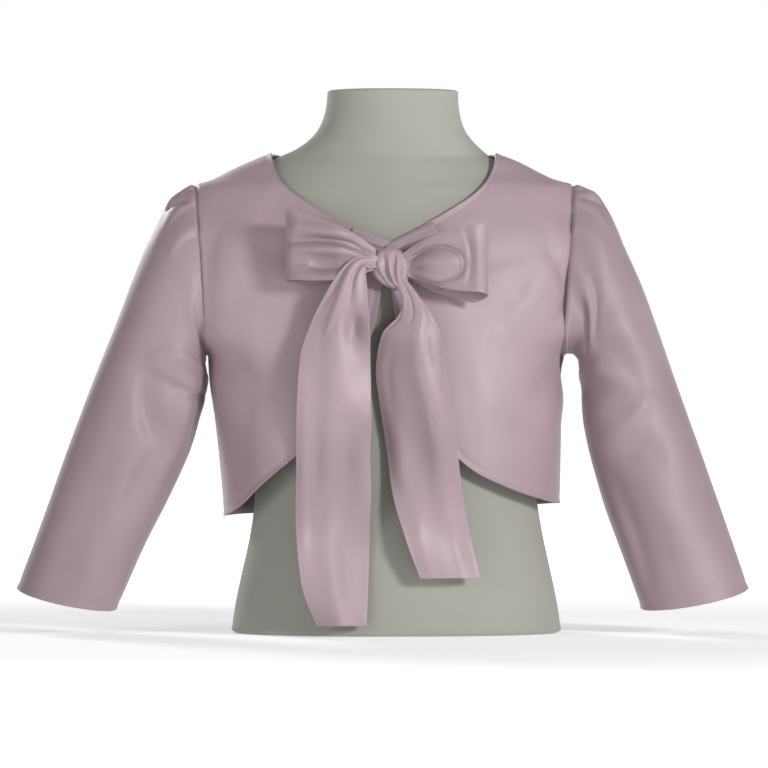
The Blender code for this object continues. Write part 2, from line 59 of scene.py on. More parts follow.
# The jacket's body, level by level: half width to each side, depth to front and back, and how
# far the section bulges between its axes
BODY_COLUMNS = ("height", "right", "left", "front", "back", "bulge")
BODY_ROWS = (
    (0.060, 0.1025, 0.1090, 0.0830, 0.0710, 0.05),
    (0.078, 0.1032, 0.1100, 0.0822, 0.0705, 0.05),
    (0.110, 0.1060, 0.1110, 0.0805, 0.0695, 0.05),
    (0.150, 0.1102, 0.1118, 0.0775, 0.0685, 0.05),
    (0.176, 0.1132, 0.1126, 0.0745, 0.0675, 0.04),
    (0.190, 0.1275, 0.1270, 0.0727, 0.0665, 0.03),
    (0.205, 0.1355, 0.1350, 0.0708, 0.0650, 0.02),
    (0.230, 0.1400, 0.1395, 0.0670, 0.0620, 0.01),
    (0.252, 0.1370, 0.1360, 0.0622, 0.0580, 0.00),
    (0.270, 0.1310, 0.1290, 0.0562, 0.0535, -0.03),
    (0.285, 0.1215, 0.1190, 0.0500, 0.0485, -0.06),
    (0.2893, 0.1098, 0.1060, 0.0481, 0.0467, -0.075),
    (0.293, 0.1030, 0.0985, 0.0465, 0.0452, -0.08),
    (0.301, 0.0850, 0.0830, 0.0435, 0.0422, -0.07),
    (0.306, 0.0725, 0.0693, 0.0410, 0.0400, -0.05),
)
UNDERARM = 0.176
SHOULDER = 0.285
NECK_POINT = {"right": 0.0730, "left": 0.0698}

# Cut lines as seen from the front: distance from the centre line, height
NECKLINE = (
    (0.0008, 0.2475),
    (0.0100, 0.2508),
    (0.0250, 0.2592),
    (0.0430, 0.2695),
    (0.0585, 0.2802),
    (0.0672, 0.2905),
    (0.0703, 0.2995),
    (0.0714, 0.3058),
)
BACK_NECKLINE = ((0.0, 0.2982), (0.0300, 0.2990), (0.0550, 0.3018), (0.0714, 0.3058))
FRONT_EDGE = {
    "right": (
        (0.0008, 0.2475),
        (0.0035, 0.2150),
        (0.0105, 0.1850),
        (0.0215, 0.1580),
        (0.0375, 0.1320),
        (0.0561, 0.1129),
        (0.0700, 0.1020),
        (0.0830, 0.0908),
        (0.0940, 0.0805),
        (0.1032, 0.0745),
    ),
    "left": (
        (0.0008, 0.2475),
        (0.0035, 0.2150),
        (0.0095, 0.1850),
        (0.0185, 0.1560),
        (0.0285, 0.1335),
        (0.0405, 0.1165),
        (0.0560, 0.1030),
        (0.0760, 0.0935),
        (0.0950, 0.0868),
        (0.1102, 0.0824),
    ),
}
BACK_HEM = 0.0765
EDGE_FADE = 0.007  # over which the neck's rolled edge runs out towards the shoulder seam
SIDE_SEAM_SHARE = 0.42  # of a panel's outer border, and the rest is its armhole
CORNER_POWER = 8  # how late the front edge moves out to meet the side seam
HALVINGS = 26  # steps when a place on the body's section is searched for

# Sleeves, from the armhole to the cuff
SLEEVE_COLUMNS = (
    "along", "over_out", "over_up", "under_out", "under_up", "half_depth", "forward",
    "armhole_share",
)
SLEEVE_ROWS = {
    "right": (
        (0.000, 0.1226, 0.2848, 0.1140, 0.1774, 0.0366, 0.0000, 1.00),
        (0.030, 0.1282, 0.2822, 0.1149, 0.1782, 0.0376, 0.0002, 0.80),
        (0.070, 0.1372, 0.2738, 0.1155, 0.1774, 0.0390, 0.0005, 0.50),
        (0.120, 0.1454, 0.2606, 0.1154, 0.1742, 0.0402, 0.0008, 0.25),
        (0.180, 0.1532, 0.2450, 0.1151, 0.1690, 0.0408, 0.0010, 0.08),
        (0.260, 0.1620, 0.2235, 0.1150, 0.1620, 0.0405, 0.0015, 0.00),
        (0.350, 0.1711, 0.1990, 0.1156, 0.1520, 0.0392, 0.0020, 0.00),
        (0.450, 0.1809, 0.1735, 0.1197, 0.1380, 0.0374, 0.0030, 0.00),
        (0.560, 0.1917, 0.1455, 0.1247, 0.1195, 0.0358, 0.0040, 0.00),
        (0.700, 0.2061, 0.1085, 0.1387, 0.0870, 0.0338, 0.0055, 0.00),
        (0.850, 0.2200, 0.0695, 0.1552, 0.0545, 0.0320, 0.0070, 0.00),
        (1.000, 0.2346, 0.0286, 0.1728, 0.0160, 0.0302, 0.0085, 0.00),
    ),
    "left": (
        (0.000, 0.1201, 0.2848, 0.1134, 0.1774, 0.0366, 0.0000, 1.00),
        (0.030, 0.1276, 0.2822, 0.1155, 0.1787, 0.0376, 0.0002, 0.80),
        (0.070, 0.1370, 0.2745, 0.1190, 0.1789, 0.0390, 0.0005, 0.50),
        (0.120, 0.1455, 0.2618, 0.1218, 0.1768, 0.0402, 0.0008, 0.25),
        (0.180, 0.1522, 0.2455, 0.1234, 0.1722, 0.0408, 0.0010, 0.08),
        (0.260, 0.1618, 0.2235, 0.1242, 0.1645, 0.0405, 0.0015, 0.00),
        (0.350, 0.1708, 0.1990, 0.1247, 0.1545, 0.0392, 0.0020, 0.00),
        (0.450, 0.1800, 0.1735, 0.1259, 0.1400, 0.0374, 0.0030, 0.00),
        (0.560, 0.1898, 0.1455, 0.1292, 0.1210, 0.0358, 0.0040, 0.00),
        (0.700, 0.2029, 0.1085, 0.1376, 0.0890, 0.0338, 0.0055, 0.00),
        (0.850, 0.2165, 0.0695, 0.1492, 0.0560, 0.0320, 0.0070, 0.00),
        (1.000, 0.2305, 0.0286, 0.1632, 0.0160, 0.0302, 0.0085, 0.00),
    ),
}
CUFF_DROP = 0.0042  # how much lower the cuff is in front than in the middle
SLEEVE_BULGE = 0.03
SLEEVE_ROUND_FROM = 0.25  # share of the sleeve over which its bulge comes in
SEAM_REACH = 0.06  # share of the sleeve over which it closes up to the armhole
PLEATS = (-62.0, -38.0, -13.0, 13.0, 38.0, 62.0)  # degrees round the sleeve head
PLEAT_SHARES = (1.0, 0.85, 1.15)  # of the depth, in turn
PLEAT_DEPTH = 0.0022
PLEAT_START, PLEAT_LENGTH = 0.010, 0.12  # shares of the sleeve
PLEAT_FADE = 0.7
PLEAT_RISE, PLEAT_DROP = 13, 1.8  # degrees of its slow and its quick side
SLEEVE_RADIUS = 0.038  # general sizes, for places round and along the sleeves
SLEEVE_LENGTH = 0.270
SLEEVE_CROWD = (1.25, 0.02)  # how its rows crowd towards the armhole and the cuff
HEAD_CALM = 0.012  # distance from the armhole over which the creases come in

# The dress form, level by level
FORM_ROWS = (
    (0.0000, 0.0964, 0.1096, 0.0715, 0.0690, 0.04),
    (0.0020, 0.0992, 0.1124, 0.0730, 0.0705, 0.04),
    (0.0380, 0.0929, 0.1061, 0.0742, 0.0690, 0.04),
    (0.0760, 0.0848, 0.0980, 0.0735, 0.0640, 0.04),
    (0.1100, 0.0834, 0.0946, 0.0718, 0.0600, 0.04),
    (0.1500, 0.0889, 0.0961, 0.0698, 0.0590, 0.04),
    (0.1900, 0.0984, 0.1016, 0.0685, 0.0610, 0.04),
    (0.2200, 0.1056, 0.1064, 0.0665, 0.0610, 0.03),
    (0.2450, 0.1109, 0.1101, 0.0622, 0.0580, 0.01),
    (0.2650, 0.1150, 0.1130, 0.0564, 0.0535, -0.02),
    (0.2800, 0.1177, 0.1153, 0.0500, 0.0485, -0.06),
    (0.2838, 0.1167, 0.1143, 0.0480, 0.0470, -0.07),
    (0.2870, 0.1090, 0.1060, 0.0470, 0.0458, -0.075),
    (0.2916, 0.1000, 0.0970, 0.0450, 0.0440, -0.085),
    (0.2996, 0.0832, 0.0812, 0.0420, 0.0398, -0.09),
    (0.3042, 0.0690, 0.0676, 0.0395, 0.0372, -0.08),
    (0.3085, 0.0586, 0.0618, 0.0386, 0.0368, -0.05),
    (0.3140, 0.0504, 0.0560, 0.0378, 0.0376, -0.01),
    (0.3200, 0.0446, 0.0514, 0.0372, 0.0376, 0.00),
    (0.3277, 0.0407, 0.0483, 0.0368, 0.0378, 0.00),
    (0.3370, 0.0384, 0.0468, 0.0366, 0.0380, 0.00),
    (0.3450, 0.0378, 0.0464, 0.0365, 0.0380, 0.00),
    (0.3464, 0.0362, 0.0448, 0.0350, 0.0364, 0.00),
)
FORM_UNDER, FORM_BELOW = 0.0022, 0.0026  # how far it stays inside the cloth, and below it
FORM_KEPT = 6  # rows at its base and its top that aren't evened

# The bow. The knot has a middle, half sizes and a foot that leans aside, and the rest is in shares
# of its half size: how square it is across and in depth, how its pleats fan out from their
# middle, how much narrower it is below, its pleats (place, width, height) and its hollows (place
# across and up, half size across and up, depth).
KNOT = (0.0026, -0.0762, 0.2310)
KNOT_SIZE = (0.0125, 0.0076, 0.0130)
KNOT_LEAN = 0.0045
KNOT_GRID = (200, 140)
KNOT_SQUARE = (0.86, 0.9)
KNOT_FAN = {"middle": 0.18, "width": 1.15, "spread": 0.5}
KNOT_WAIST = 0.26
KNOT_PLEATS = (
    (-0.62, 0.10, 0.16),
    (-0.36, 0.07, -0.16),
    (-0.17, 0.09, 0.20),
    (0.02, 0.06, -0.20),
    (0.17, 0.07, 0.18),
    (0.34, 0.05, -0.16),
    (0.50, 0.08, 0.12),
)
KNOT_HOLLOWS = ((-0.5, -0.55, 0.42, 0.5, 0.55), (0.75, -0.5, 0.3, 0.45, 0.35))
# The loops run out from the knot and back behind themselves.
LOOP_COLUMNS = ("along", "reach", "forward", "half_width")
LOOP_ROWS = (
    (0.00, 0.000, 0.0030, 0.0065),
    (0.12, 0.160, 0.0062, 0.0110),
    (0.28, 0.470, 0.0120, 0.0175),
    (0.42, 0.820, 0.0122, 0.0212),
    (0.47, 0.955, 0.0098, 0.0219),
    (0.50, 1.000, 0.0058, 0.0220),
    (0.53, 0.965, 0.0018, 0.0220),
    (0.60, 0.840, -0.0018, 0.0214),
    (0.75, 0.500, -0.0036, 0.0178),
    (0.90, 0.180, -0.0022, 0.0110),
    (1.00, 0.000, -0.0006, 0.0065),
)
LOOP_ITEMS = ("root", "length", "height", "rise", "back_drop", "back_wide")
LOOPS = {
    "right": (-0.0064, 0.0564, 0.2371, 0.0096, 0.0028, 0.0),
    "left": (0.0106, 0.0531, 0.2343, 0.0042, 0.0062, 0.0014),
}
# How much further forward the tip of each loop stands, where its back ribbon drops and widens,
# its gathers at the knot, and how its creases come in from there and are less on the back ribbon
LOOP_SWING = {"right": -0.0050, "left": 0.0040}
LOOP_BACK = {"from": 0.45, "over": 0.15, "power": 0.6}
GATHER = {"height": 0.0012, "waves": 3, "from": 0.2}
LOOP_CALM = {"over": 0.014, "least": 0.2, "back": 0.3}
TAIL_COLUMNS = ("along", "across", "depth", "height", "half_width", "cup", "fold")
TAIL_ROWS = {
    "right": (
        (0.00, -0.0036, 0.0795, 0.2350, 0.0034, 0.0000, 0.0000),
        (0.03, -0.0140, 0.0856, 0.2354, 0.0048, 0.0004, 0.0000),
        (0.07, -0.0205, 0.0908, 0.2290, 0.0082, 0.0010, 0.0004),
        (0.13, -0.0243, 0.0926, 0.2170, 0.0125, 0.0020, 0.0010),
        (0.22, -0.0288, 0.0908, 0.1965, 0.0181, 0.0030, 0.0016),
        (0.32, -0.0319, 0.0890, 0.1750, 0.0217, 0.0032, 0.0018),
        (0.46, -0.0326, 0.0890, 0.1420, 0.0232, 0.0028, 0.0014),
        (0.62, -0.0326, 0.0892, 0.1040, 0.0235, 0.0024, 0.0012),
        (0.76, -0.0334, 0.0886, 0.0690, 0.0230, 0.0026, 0.0014),
        (0.90, -0.0322, 0.0872, 0.0340, 0.0209, 0.0034, 0.0016),
        (1.00, -0.0280, 0.0852, 0.0070, 0.0154, 0.0066, 0.0014),
    ),
    "left": (
        (0.00, 0.0086, 0.0790, 0.2246, 0.0030, 0.0000, 0.0000),
        (0.05, 0.0160, 0.0828, 0.2110, 0.0052, 0.0006, 0.0002),
        (0.11, 0.0180, 0.0852, 0.2015, 0.0100, 0.0018, 0.0010),
        (0.18, 0.0158, 0.0868, 0.1900, 0.0182, 0.0030, 0.0018),
        (0.29, 0.0152, 0.0878, 0.1700, 0.0214, 0.0034, 0.0026),
        (0.42, 0.0190, 0.0886, 0.1450, 0.0227, 0.0030, 0.0028),
        (0.57, 0.0228, 0.0890, 0.1180, 0.0222, 0.0026, 0.0024),
        (0.72, 0.0260, 0.0888, 0.0900, 0.0218, 0.0024, 0.0018),
        (0.87, 0.0328, 0.0878, 0.0610, 0.0204, 0.0028, 0.0014),
        (1.00, 0.0402, 0.0868, 0.0370, 0.0188, 0.0030, 0.0010),
    ),
}
# Over their first stretch the tails turn out of the knot. They hang nearer to the chest by a
# distance that comes in over another, and have a soft fold at a place across them.
TURN_END = 0.1
TAIL_NEARER = 0.0030
NEARER = {"from": 0.05, "over": 0.15}
FOLD_AT = {"right": -0.1, "left": 0.45}
FOLD_WIDTH = 0.3
SLOPE_STEP = 0.01
# The ties: their ends, their half width there and its taper, how far they lie off the fronts, how
# much they are crowned and how deep their gathers are
TIE_WIDTH, TIE_TAPER = 0.8, 0.25
TIE_GATHER = 0.0003
TIES = {
    "right": {
        "out": 0.0225, "in": -0.0060, "up_out": 0.2515, "up_in": 0.2428, "tip": 0.0078,
        "lift": 0.0009, "crown": 0.0018,
    },
    "left": {
        "out": 0.0320, "in": 0.0010, "up_out": 0.2550, "up_in": 0.2420, "tip": 0.0082,
        "lift": 0.0020, "crown": 0.0032,
    },
}

# Soft creases, in millimetres: where each starts and ends, how far it bows aside, its half
# width, its height (a trough is negative) and how much sharper its near side is.
CREASE_COLUMNS = ("a0", "b0", "a1", "b1", "bow", "width", "height", "lean")
# On the fronts and back, a is the distance from the centre line and b the height.
FRONT_CREASES = {
    "right": (
        (64, 301, 104, 196, 5, 9, 0.9, 0.3),
        (104, 262, 112, 222, 4, 7, -1.3, 0.2),
        (2, 243, 62, 268, -4, 5, 0.9, 0.3),
        (4, 238, 84, 246, -5, 6, -0.9, 0.0),
        (4, 232, 76, 222, 4, 6, 0.9, 0.3),
        (6, 226, 60, 190, 6, 7, -1.0, 0.2),
        (86, 216, 68, 156, 4, 15, 1.8, 0.2),
        (114, 196, 72, 186, 4, 6, 1.2, 0.3),
        (115, 184, 82, 162, -3, 6, -1.5, 0.3),
        (112, 172, 92, 140, 3, 6, 1.2, 0.2),
        (66, 150, 62, 88, -4, 11, 1.1, 0.2),
        (86, 160, 88, 74, 3, 9, -1.4, 0.3),
    ),
    "left": (
        (60, 300, 100, 200, 6, 9, 0.8, 0.2),
        (103, 244, 115, 196, 5, 6, -2.8, 0.3),
        (110, 262, 104, 224, 3, 6, 1.5, 0.2),
        (116, 214, 104, 200, 2, 4, -1.8, 0.3),
        (8, 243, 60, 266, -3, 5, 0.8, 0.2),
        (10, 236, 86, 240, -5, 6, -0.9, 0.2),
        (8, 230, 70, 212, 4, 6, 0.8, 0.3),
        (102, 236, 74, 196, 4, 9, 1.3, 0.3),
        (115, 186, 88, 150, 4, 9, -2.8, 0.2),
        (112, 160, 94, 132, 3, 7, 1.3, 0.2),
        (100, 142, 60, 134, -3, 9, -1.3, 0.2),
        (58, 180, 64, 100, 4, 12, 1.0, 0.2),
    ),
}
BACK_CREASES = (
    (-110, 228, -40, 196, 6, 8, 2.7, 0.3),
    (108, 232, 46, 198, -6, 8, 2.8, 0.3),
    (-113, 210, -58, 176, 5, 7, -2.8, 0.2),
    (112, 212, 54, 182, -5, 7, -2.7, 0.2),
    (-112, 190, -76, 148, 4, 7, 3.2, 0.2),
    (112, 188, 80, 142, -4, 7, 3.3, 0.2),
    (-112, 172, -88, 122, 4, 6, -2.4, 0.2),
    (112, 168, 92, 118, -4, 6, -2.2, 0.2),
    (-28, 172, -36, 62, 4, 13, 3.3, 0.2),
    (36, 160, 30, 62, -4, 14, 3.0, 0.2),
    (-58, 160, -68, 62, -3, 11, -3.4, 0.3),
    (64, 166, 72, 62, 3, 11, -3.3, 0.3),
    (-90, 130, -94, 62, 3, 8, 2.7, 0.2),
    (94, 126, 98, 62, -3, 9, 2.5, 0.2),
    (2, 220, 4, 62, 3, 13, -2.4, 0.0),
    (-16, 294, -76, 244, -6, 8, 1.7, 0.3),
    (20, 294, 70, 246, 6, 8, 1.7, 0.3),
    (-26, 282, 24, 280, -5, 6, 1.4, 0.2),
)
# On the sleeves, a is the distance round from the line over the arm, front positive, and b
# the distance down from the armhole.
SLEEVE_CREASES = {
    "right": (
        (31, 1, 8, 24, 1, 1.6, -2.6, 0.3),
        (26, 0, 4, 21, 1, 3, 1.9, 0.0),
        (64, 8, 96, 40, 4, 8, 1.4, 0.2),
        (50, 106, 97, 62, -4, 7, 2.2, 0.3),
        (49, 113, 112, 95, 3, 8, -3.2, 0.2),
        (52, 112, 78, 160, 4, 9, -4.6, -0.3),
        (92, 88, 94, 156, 2, 8, 4.4, 0.2),
        (80, 160, 74, 214, 3, 9, -2.2, -0.3),
        (94, 156, 92, 206, 2, 8, 2.0, 0.2),
        (44, 148, 76, 236, -5, 13, 1.3, 0.2),
        (56, 222, 82, 264, 3, 8, 1.0, 0.2),
        (108, 180, 100, 262, 4, 9, 1.2, 0.2),
        (-112, 16, -50, 64, -5, 7, 1.8, 0.3),
        (-116, 40, -56, 96, -5, 7, -2.4, 0.3),
        (-114, 66, -48, 122, 6, 7, 2.0, 0.3),
        (-110, 96, -50, 142, 5, 7, -2.0, 0.2),
        (-104, 128, -44, 160, -4, 7, 1.4, 0.2),
        (-22, 60, -30, 230, -5, 12, -1.0, 0.2),
        (-74, 160, -60, 264, 5, 10, 1.2, 0.2),
        (18, 60, 24, 230, 5, 13, 0.9, 0.2),
    ),
    "left": (
        (26, 1, 9, 21, 1, 1.6, -2.2, 0.3),
        (21, 0, 5, 18, 1, 3, 1.6, 0.0),
        (56, 4, 76, 52, 3, 6, -2.0, 0.3),
        (64, 4, 84, 54, 3, 5, 1.7, 0.2),
        (74, 4, 92, 48, 3, 5, -1.8, 0.2),
        (94, 58, 46, 127, 5, 10, -4.2, 0.2),
        (66, 60, 42, 104, 4, 9, 1.8, 0.2),
        (102, 92, 62, 130, 0, 12, -3.4, 0.0),
        (92, 152, 46, 136, -4, 7, 2.2, 0.3),
        (80, 164, 46, 180, 3, 8, -2.4, 0.2),
        (92, 176, 88, 262, 3, 10, -1.6, 0.2),
        (66, 178, 60, 264, 4, 11, 1.8, 0.2),
        (88, 176, 92, 264, 4, 9, -1.4, 0.2),
        (-112, 18, -52, 60, -5, 7, 1.8, 0.3),
        (-114, 42, -54, 92, -5, 7, -2.4, 0.3),
        (-114, 68, -46, 118, 6, 7, 2.0, 0.3),
        (-108, 98, -48, 142, 5, 7, -1.8, 0.2),
        (-26, 50, -20, 250, 5, 12, -1.0, 0.2),
        (-70, 150, -64, 264, -5, 10, -1.2, 0.2),
        (-102, 170, -98, 264, 4, 9, 1.1, 0.2),
    ),
}
# On the loops, a is the distance out from the knot and b the distance above the middle.
LOOP_CREASES = {
    "right": (
        (10, 6.5, 52, 2, 2.2, 2.1, -3.4, 0.2),
        (10, 12, 52, 10, 1, 4.2, 2.4, 0.2),
        (12, 2.5, 52, -3, 1, 2.6, 2.3, -0.2),
        (22, -8, 42, -11, -1, 5.0, -6.0, 0.3),
        (14, -14, 50, -18, -1, 2.4, 2.0, 0.0),
        (6, -2, 22, -4, -1, 1.6, 1.0, 0.2),
        (4, 3, 20, 4, 0.5, 1.4, -0.9, 0.2),
        (48, 18, 53, -14, 1, 3.0, 0.9, 0.2),
    ),
    "left": (
        (5, 8, 27, 16, 1, 2.4, 1.5, 0.3),
        (38, 18, 40, -17, 3, 1.7, -1.5, 0.3),
        (44, 18, 46, -17, 2, 2.4, 1.1, 0.2),
        (26, 14, 38, 17, 1, 3.0, 1.0, 0.2),
        (7, -8, 30, -17, -2, 2.0, -1.3, 0.2),
        (4, 3, 14, 4, 0.5, 1.2, -0.9, 0.2),
        (4, -2, 14, -3, -0.5, 1.2, -0.9, 0.2),
    ),
}
# The rounded fold on the left loop: its middle, its half sizes, its height and how full it is,
# and the groove round it, placed and sized as shares of its half size.
TONGUE = {
    "out": 0.0207, "up": -0.0032, "half_out": 0.0160, "half_up": 0.0108, "height": 0.0032,
    "full": 0.6, "groove": 0.0018, "groove_at": 1.08, "groove_width": 0.12,
}
# On the tails, a is the distance across from the middle and b the distance down.
TAIL_CREASES = {
    "right": (
        (-1, 0, -7, 66, -2, 2.2, 1.6, 0.3),
        (2, 4, 4, 44, 1, 2.0, -1.3, 0.3),
        (-4, 6, -14, 58, -2, 2.2, -1.1, 0.3),
        (4, 3, 9, 40, 2, 2.2, 1.2, 0.2),
        (8, 45, 10, 66, 0, 5.8, -5.6, 0.0),
        (20, 40, 21, 66, 0, 6.5, 4.4, 0.0),
        (6, 66, 6, 108, 1, 10.0, 3.2, 0.0),
        (21, 108, 19, 168, -2, 9.0, 4.8, 0.2),
        (-6, 100, -12, 170, 2, 7.0, -0.8, 0.2),
        (-19, 90, -20, 236, -1, 4.0, 1.3, 0.0),
        (9, 186, 13, 236, 2, 4.0, -0.8, 0.2),
    ),
    "left": (
        (-1.4, 0, -8, 24, -1, 1.3, 1.0, 0.2),
        (0.4, 0, -1, 30, -0.5, 1.2, -0.9, 0.2),
        (1.6, 3, 8, 88, 0, 8.0, 3.4, 0.35),
        (-2.4, 0, -14, 34, -2, 1.5, -0.9, 0.2),
        (9, 34, 13, 60, 1, 2.2, -1.2, 0.2),
        (21, 84, 20, 152, 1, 10.0, 3.2, 0.3),
        (-14, 92, -9, 150, 2, 6.0, 1.5, 0.0),
        (-12, 44, -16, 88, 1, 5.0, -1.0, 0.2),
        (-9, 152, -12, 196, 1, 4.0, 0.8, 0.2),
        (8, 160, 6, 196, 1, 4.0, -0.6, 0.2),
    ),
}
# How far each tail turns to the viewer's right on its way down, as a slope across it.
TWIST_COLUMNS = ("along", "slope")
TWISTS = {
    "right": (
        (0.00, 0.00),
        (0.20, -0.24),
        (0.36, 0.04),
        (0.46, -0.10),
        (0.58, -0.34),
        (0.70, -0.10),
        (0.82, 0.32),
        (0.93, 0.22),
        (1.00, 0.00),
    ),
    "left": (
        (0.00, 0.00),
        (0.14, -0.12),
        (0.28, -0.40),
        (0.40, -0.46),
        (0.52, -0.46),
        (0.66, -0.30),
        (0.80, 0.10),
        (0.88, 0.34),
        (1.00, 0.20),
    ),
}

# How a crease fades towards its ends: its share there, its gain to the middle and its fullness
CREASE_TAPER = (0.08, 0.84, 0.8)
# Edges of cloth in metres: each adds soft ridges or grooves at a distance from the border.
EDGE_COLUMNS = ("height", "at", "width")
EDGES = {
    "rolled": ((0.00040, 0.0, 0.0016), (-0.00022, 0.0042, 0.0012)),
    "sewn": ((-0.00075, 0.0, 0.0011), (0.00018, 0.0036, 0.0018)),
    "selvedge": ((0.00034, 0.0, 0.0011),),
}
# The slack of hanging cloth: seed, size of a wave and height. Its waves differ in length.
SLACK = {
    "right_front": (10, 0.11, 0.00035),
    "left_front": (12, 0.11, 0.00035),
    "back_panel": (5, 0.12, 0.0004),
    "right_sleeve": (20, 0.13, 0.0004),
    "left_sleeve": (22, 0.13, 0.0004),
}
SLACK_WAVES = 9
SLACK_RANGE = (0.7, 1.8)
SLACK_SHARE = 4  # what the sum of the waves is divided by
SLACK_ROUND = 0.04  # a sleeve's half width here, so that its slack meets itself all round

# Grid sizes, cells across and along, how much the cells crowd to the borders of a panel, and how
# often each surface is evened
FRONT_GRID = (84, 120)
BACK_GRID = (170, 120)
SLEEVE_GRID = (150, 150)
FORM_GRID = (120, 150)
LOOP_GRID = (44, 130)
TAIL_GRID = (48, 180)
TIE_GRID = (28, 32)
CROWD = 0.6
EVENING = {"front": 12, "back": 12, "sleeve": 8, "form": 24, "loop": 4, "tail": 6}


class Profile:
    """Named columns that change smoothly along the first one, with no overshoot."""

    def __init__(self, columns, rows):
        table = np.array(rows, float)
        self.columns = columns[1:]
        self.stations = table[:, 0]
        self.values = table[:, 1:]
        slope = np.diff(self.values, axis=0) / np.diff(self.stations)[:, None]
        before, after = slope[:-1], slope[1:]
        turns = before * after <= 0
        total = np.where(turns, 1.0, before + after)
        inner = np.where(turns, 0.0, 2 * before * after / total)
        self.tangents = np.vstack((slope[:1], inner, slope[-1:]))

    def row(self, at):
        """The columns' values at an array of stations, on the last axis."""
        at = np.clip(at, self.stations[0], self.stations[-1])
        i = np.searchsorted(self.stations, at, side="right") - 1
        i = np.clip(i, 0, len(self.stations) - 2)
        step = self.stations[i + 1] - self.stations[i]
        t = ((at - self.stations[i]) / step)[..., None]
        step = step[..., None]
        return (
            (2 * t**3 - 3 * t**2 + 1) * self.values[i]
            + (t**3 - 2 * t**2 + t) * step * self.tangents[i]
            + (3 * t**2 - 2 * t**3) * self.values[i + 1]
            + (t**3 - t**2) * step * self.tangents[i + 1]
        )

    def at(self, stations):
        """The columns' values at an array of stations, by name."""
        return dict(zip(self.columns, np.moveaxis(self.row(np.asarray(stations)), -1, 0)))


class Line:
    """A smooth line through a few points, read by the share of its length."""

    def __init__(self, points):
        points = np.array(points, float)
        steps = np.linalg.norm(np.diff(points, axis=0), axis=1)
        self.length = steps.sum()
        gone = np.concatenate(([0.0], np.cumsum(steps)))
        names = ("gone",) + tuple(range(points.shape[1]))
        self.profile = Profile(names, np.column_stack((gone, points)))

    def at(self, share):
        return self.profile.row(np.asarray(share) * self.length)


BODY = Profile(BODY_COLUMNS, BODY_ROWS)
FORM = Profile(BODY_COLUMNS, FORM_ROWS)
BODY_TOP = BODY_ROWS[-1][0]


# Small helpers


def hump(distance, width):
    """A soft hump of height 1."""
    return np.exp(-((distance / width) ** 2))


def ramp(value, start, over):
    """A share that grows from 0 to 1, from a start and over a stretch."""
    return np.clip((value - start) / over, 0.0, 1.0)


def joined(*parts):
    return np.stack(parts, -1)


def halved(low, high, is_short):
    """The place between two others where is_short turns false, found by halving."""
    for _ in range(HALVINGS):
        middle = (low + high) / 2
        short = is_short(middle)
        low, high = np.where(short, middle, low), np.where(short, high, middle)
    return low


# The jacket's body surface


def bulge(amount, angle):
    return 1 + amount * np.sin(2 * angle) ** 2


def depth_at(side, face, out, up):
    """Distance in front of or behind the side seams at places seen from the front."""
    level = BODY.at(up)
    half, swell = level[side], level["bulge"]
    angle = halved(
        np.zeros_like(half),
        np.full_like(half, math.pi / 2),
        lambda angle: half * np.sin(angle) * bulge(swell, angle) < out,
    )
    return np.where(out >= half, 0.0, level[face] * np.cos(angle) * bulge(swell, angle))


def shoulder_height(side, out):
    low, high = np.full_like(out, SHOULDER), np.full_like(out, BODY_TOP)
    return halved(low, high, lambda up: BODY.at(up)[side] > out)


def half_width_at(side, up):
    """The body's half width at one height."""
    return float(BODY.at(np.array(up))[side])


def armhole_out(side, up):
    low, high = half_width_at(side, UNDERARM), half_width_at(side, SHOULDER)
    return low + (high - low) * ramp(up, UNDERARM, SHOULDER - UNDERARM)


def side_line(side, hem, share):
    """Up the side seam from the hem, then up the armhole to the shoulder: out, up."""
    seam_up = hem + (UNDERARM - hem) * np.clip(share / SIDE_SEAM_SHARE, 0, 1)
    turn = math.pi * ramp(share, SIDE_SEAM_SHARE, 1 - SIDE_SEAM_SHARE)
    hole_up = (UNDERARM + SHOULDER) / 2 - (SHOULDER - UNDERARM) / 2 * np.cos(turn)
    below = share < SIDE_SEAM_SHARE
    up = np.where(below, seam_up, hole_up)
    return joined(np.where(below, BODY.at(up)[side], armhole_out(side, up)), up)


def patch(bottom, top, start, end, across, along, rows_share):
    """A four-sided patch between its border lines, which meet at their ends."""
    zero, one = np.zeros_like(across), np.ones_like(across)
    across, along = across[..., None], along[..., None]
    lofted = (1 - along) * bottom(across[..., 0]) + along * top(across[..., 0])
    sided = (1 - across) * start(rows_share) + across * end(rows_share)
    corners = (1 - across) * ((1 - along) * bottom(zero) + along * top(zero))
    corners = corners + across * ((1 - along) * bottom(one) + along * top(one))
    return lofted + sided - corners


def eased(share):
    return np.sin(share * math.pi / 2)


def front_flat(side, u, v):
    """Where a front's point lies as seen from the front: out, up."""
    front_edge = Line(FRONT_EDGE[side])
    hem = FRONT_EDGE[side][-1][1]
    reach = NECK_POINT[side] / NECKLINE[-1][0]
    neck = Line([(out * reach, up) for out, up in NECKLINE])
    corner = float(front_edge.at(np.array(1.0))[0])
    far = half_width_at(side, SHOULDER)

    def bottom(share):
        line = front_edge.at(share)
        line[..., 0] += share**CORNER_POWER * (BODY.at(line[..., 1])[side] - corner)
        return line

    def top(share):
        out = NECK_POINT[side] + (far - NECK_POINT[side]) * share
        return joined(out, shoulder_height(side, out))

    return patch(
        bottom,
        top,
        lambda share: neck.at(eased(share)),
        lambda share: side_line(side, hem, share),
        eased(u),
        eased(v),
        v,
    )


def front_surface(side, u, v):
    out, up = np.moveaxis(front_flat(side, u, v), -1, 0)
    return joined(SIDES[side] * out, -depth_at(side, "front", out, up), up)


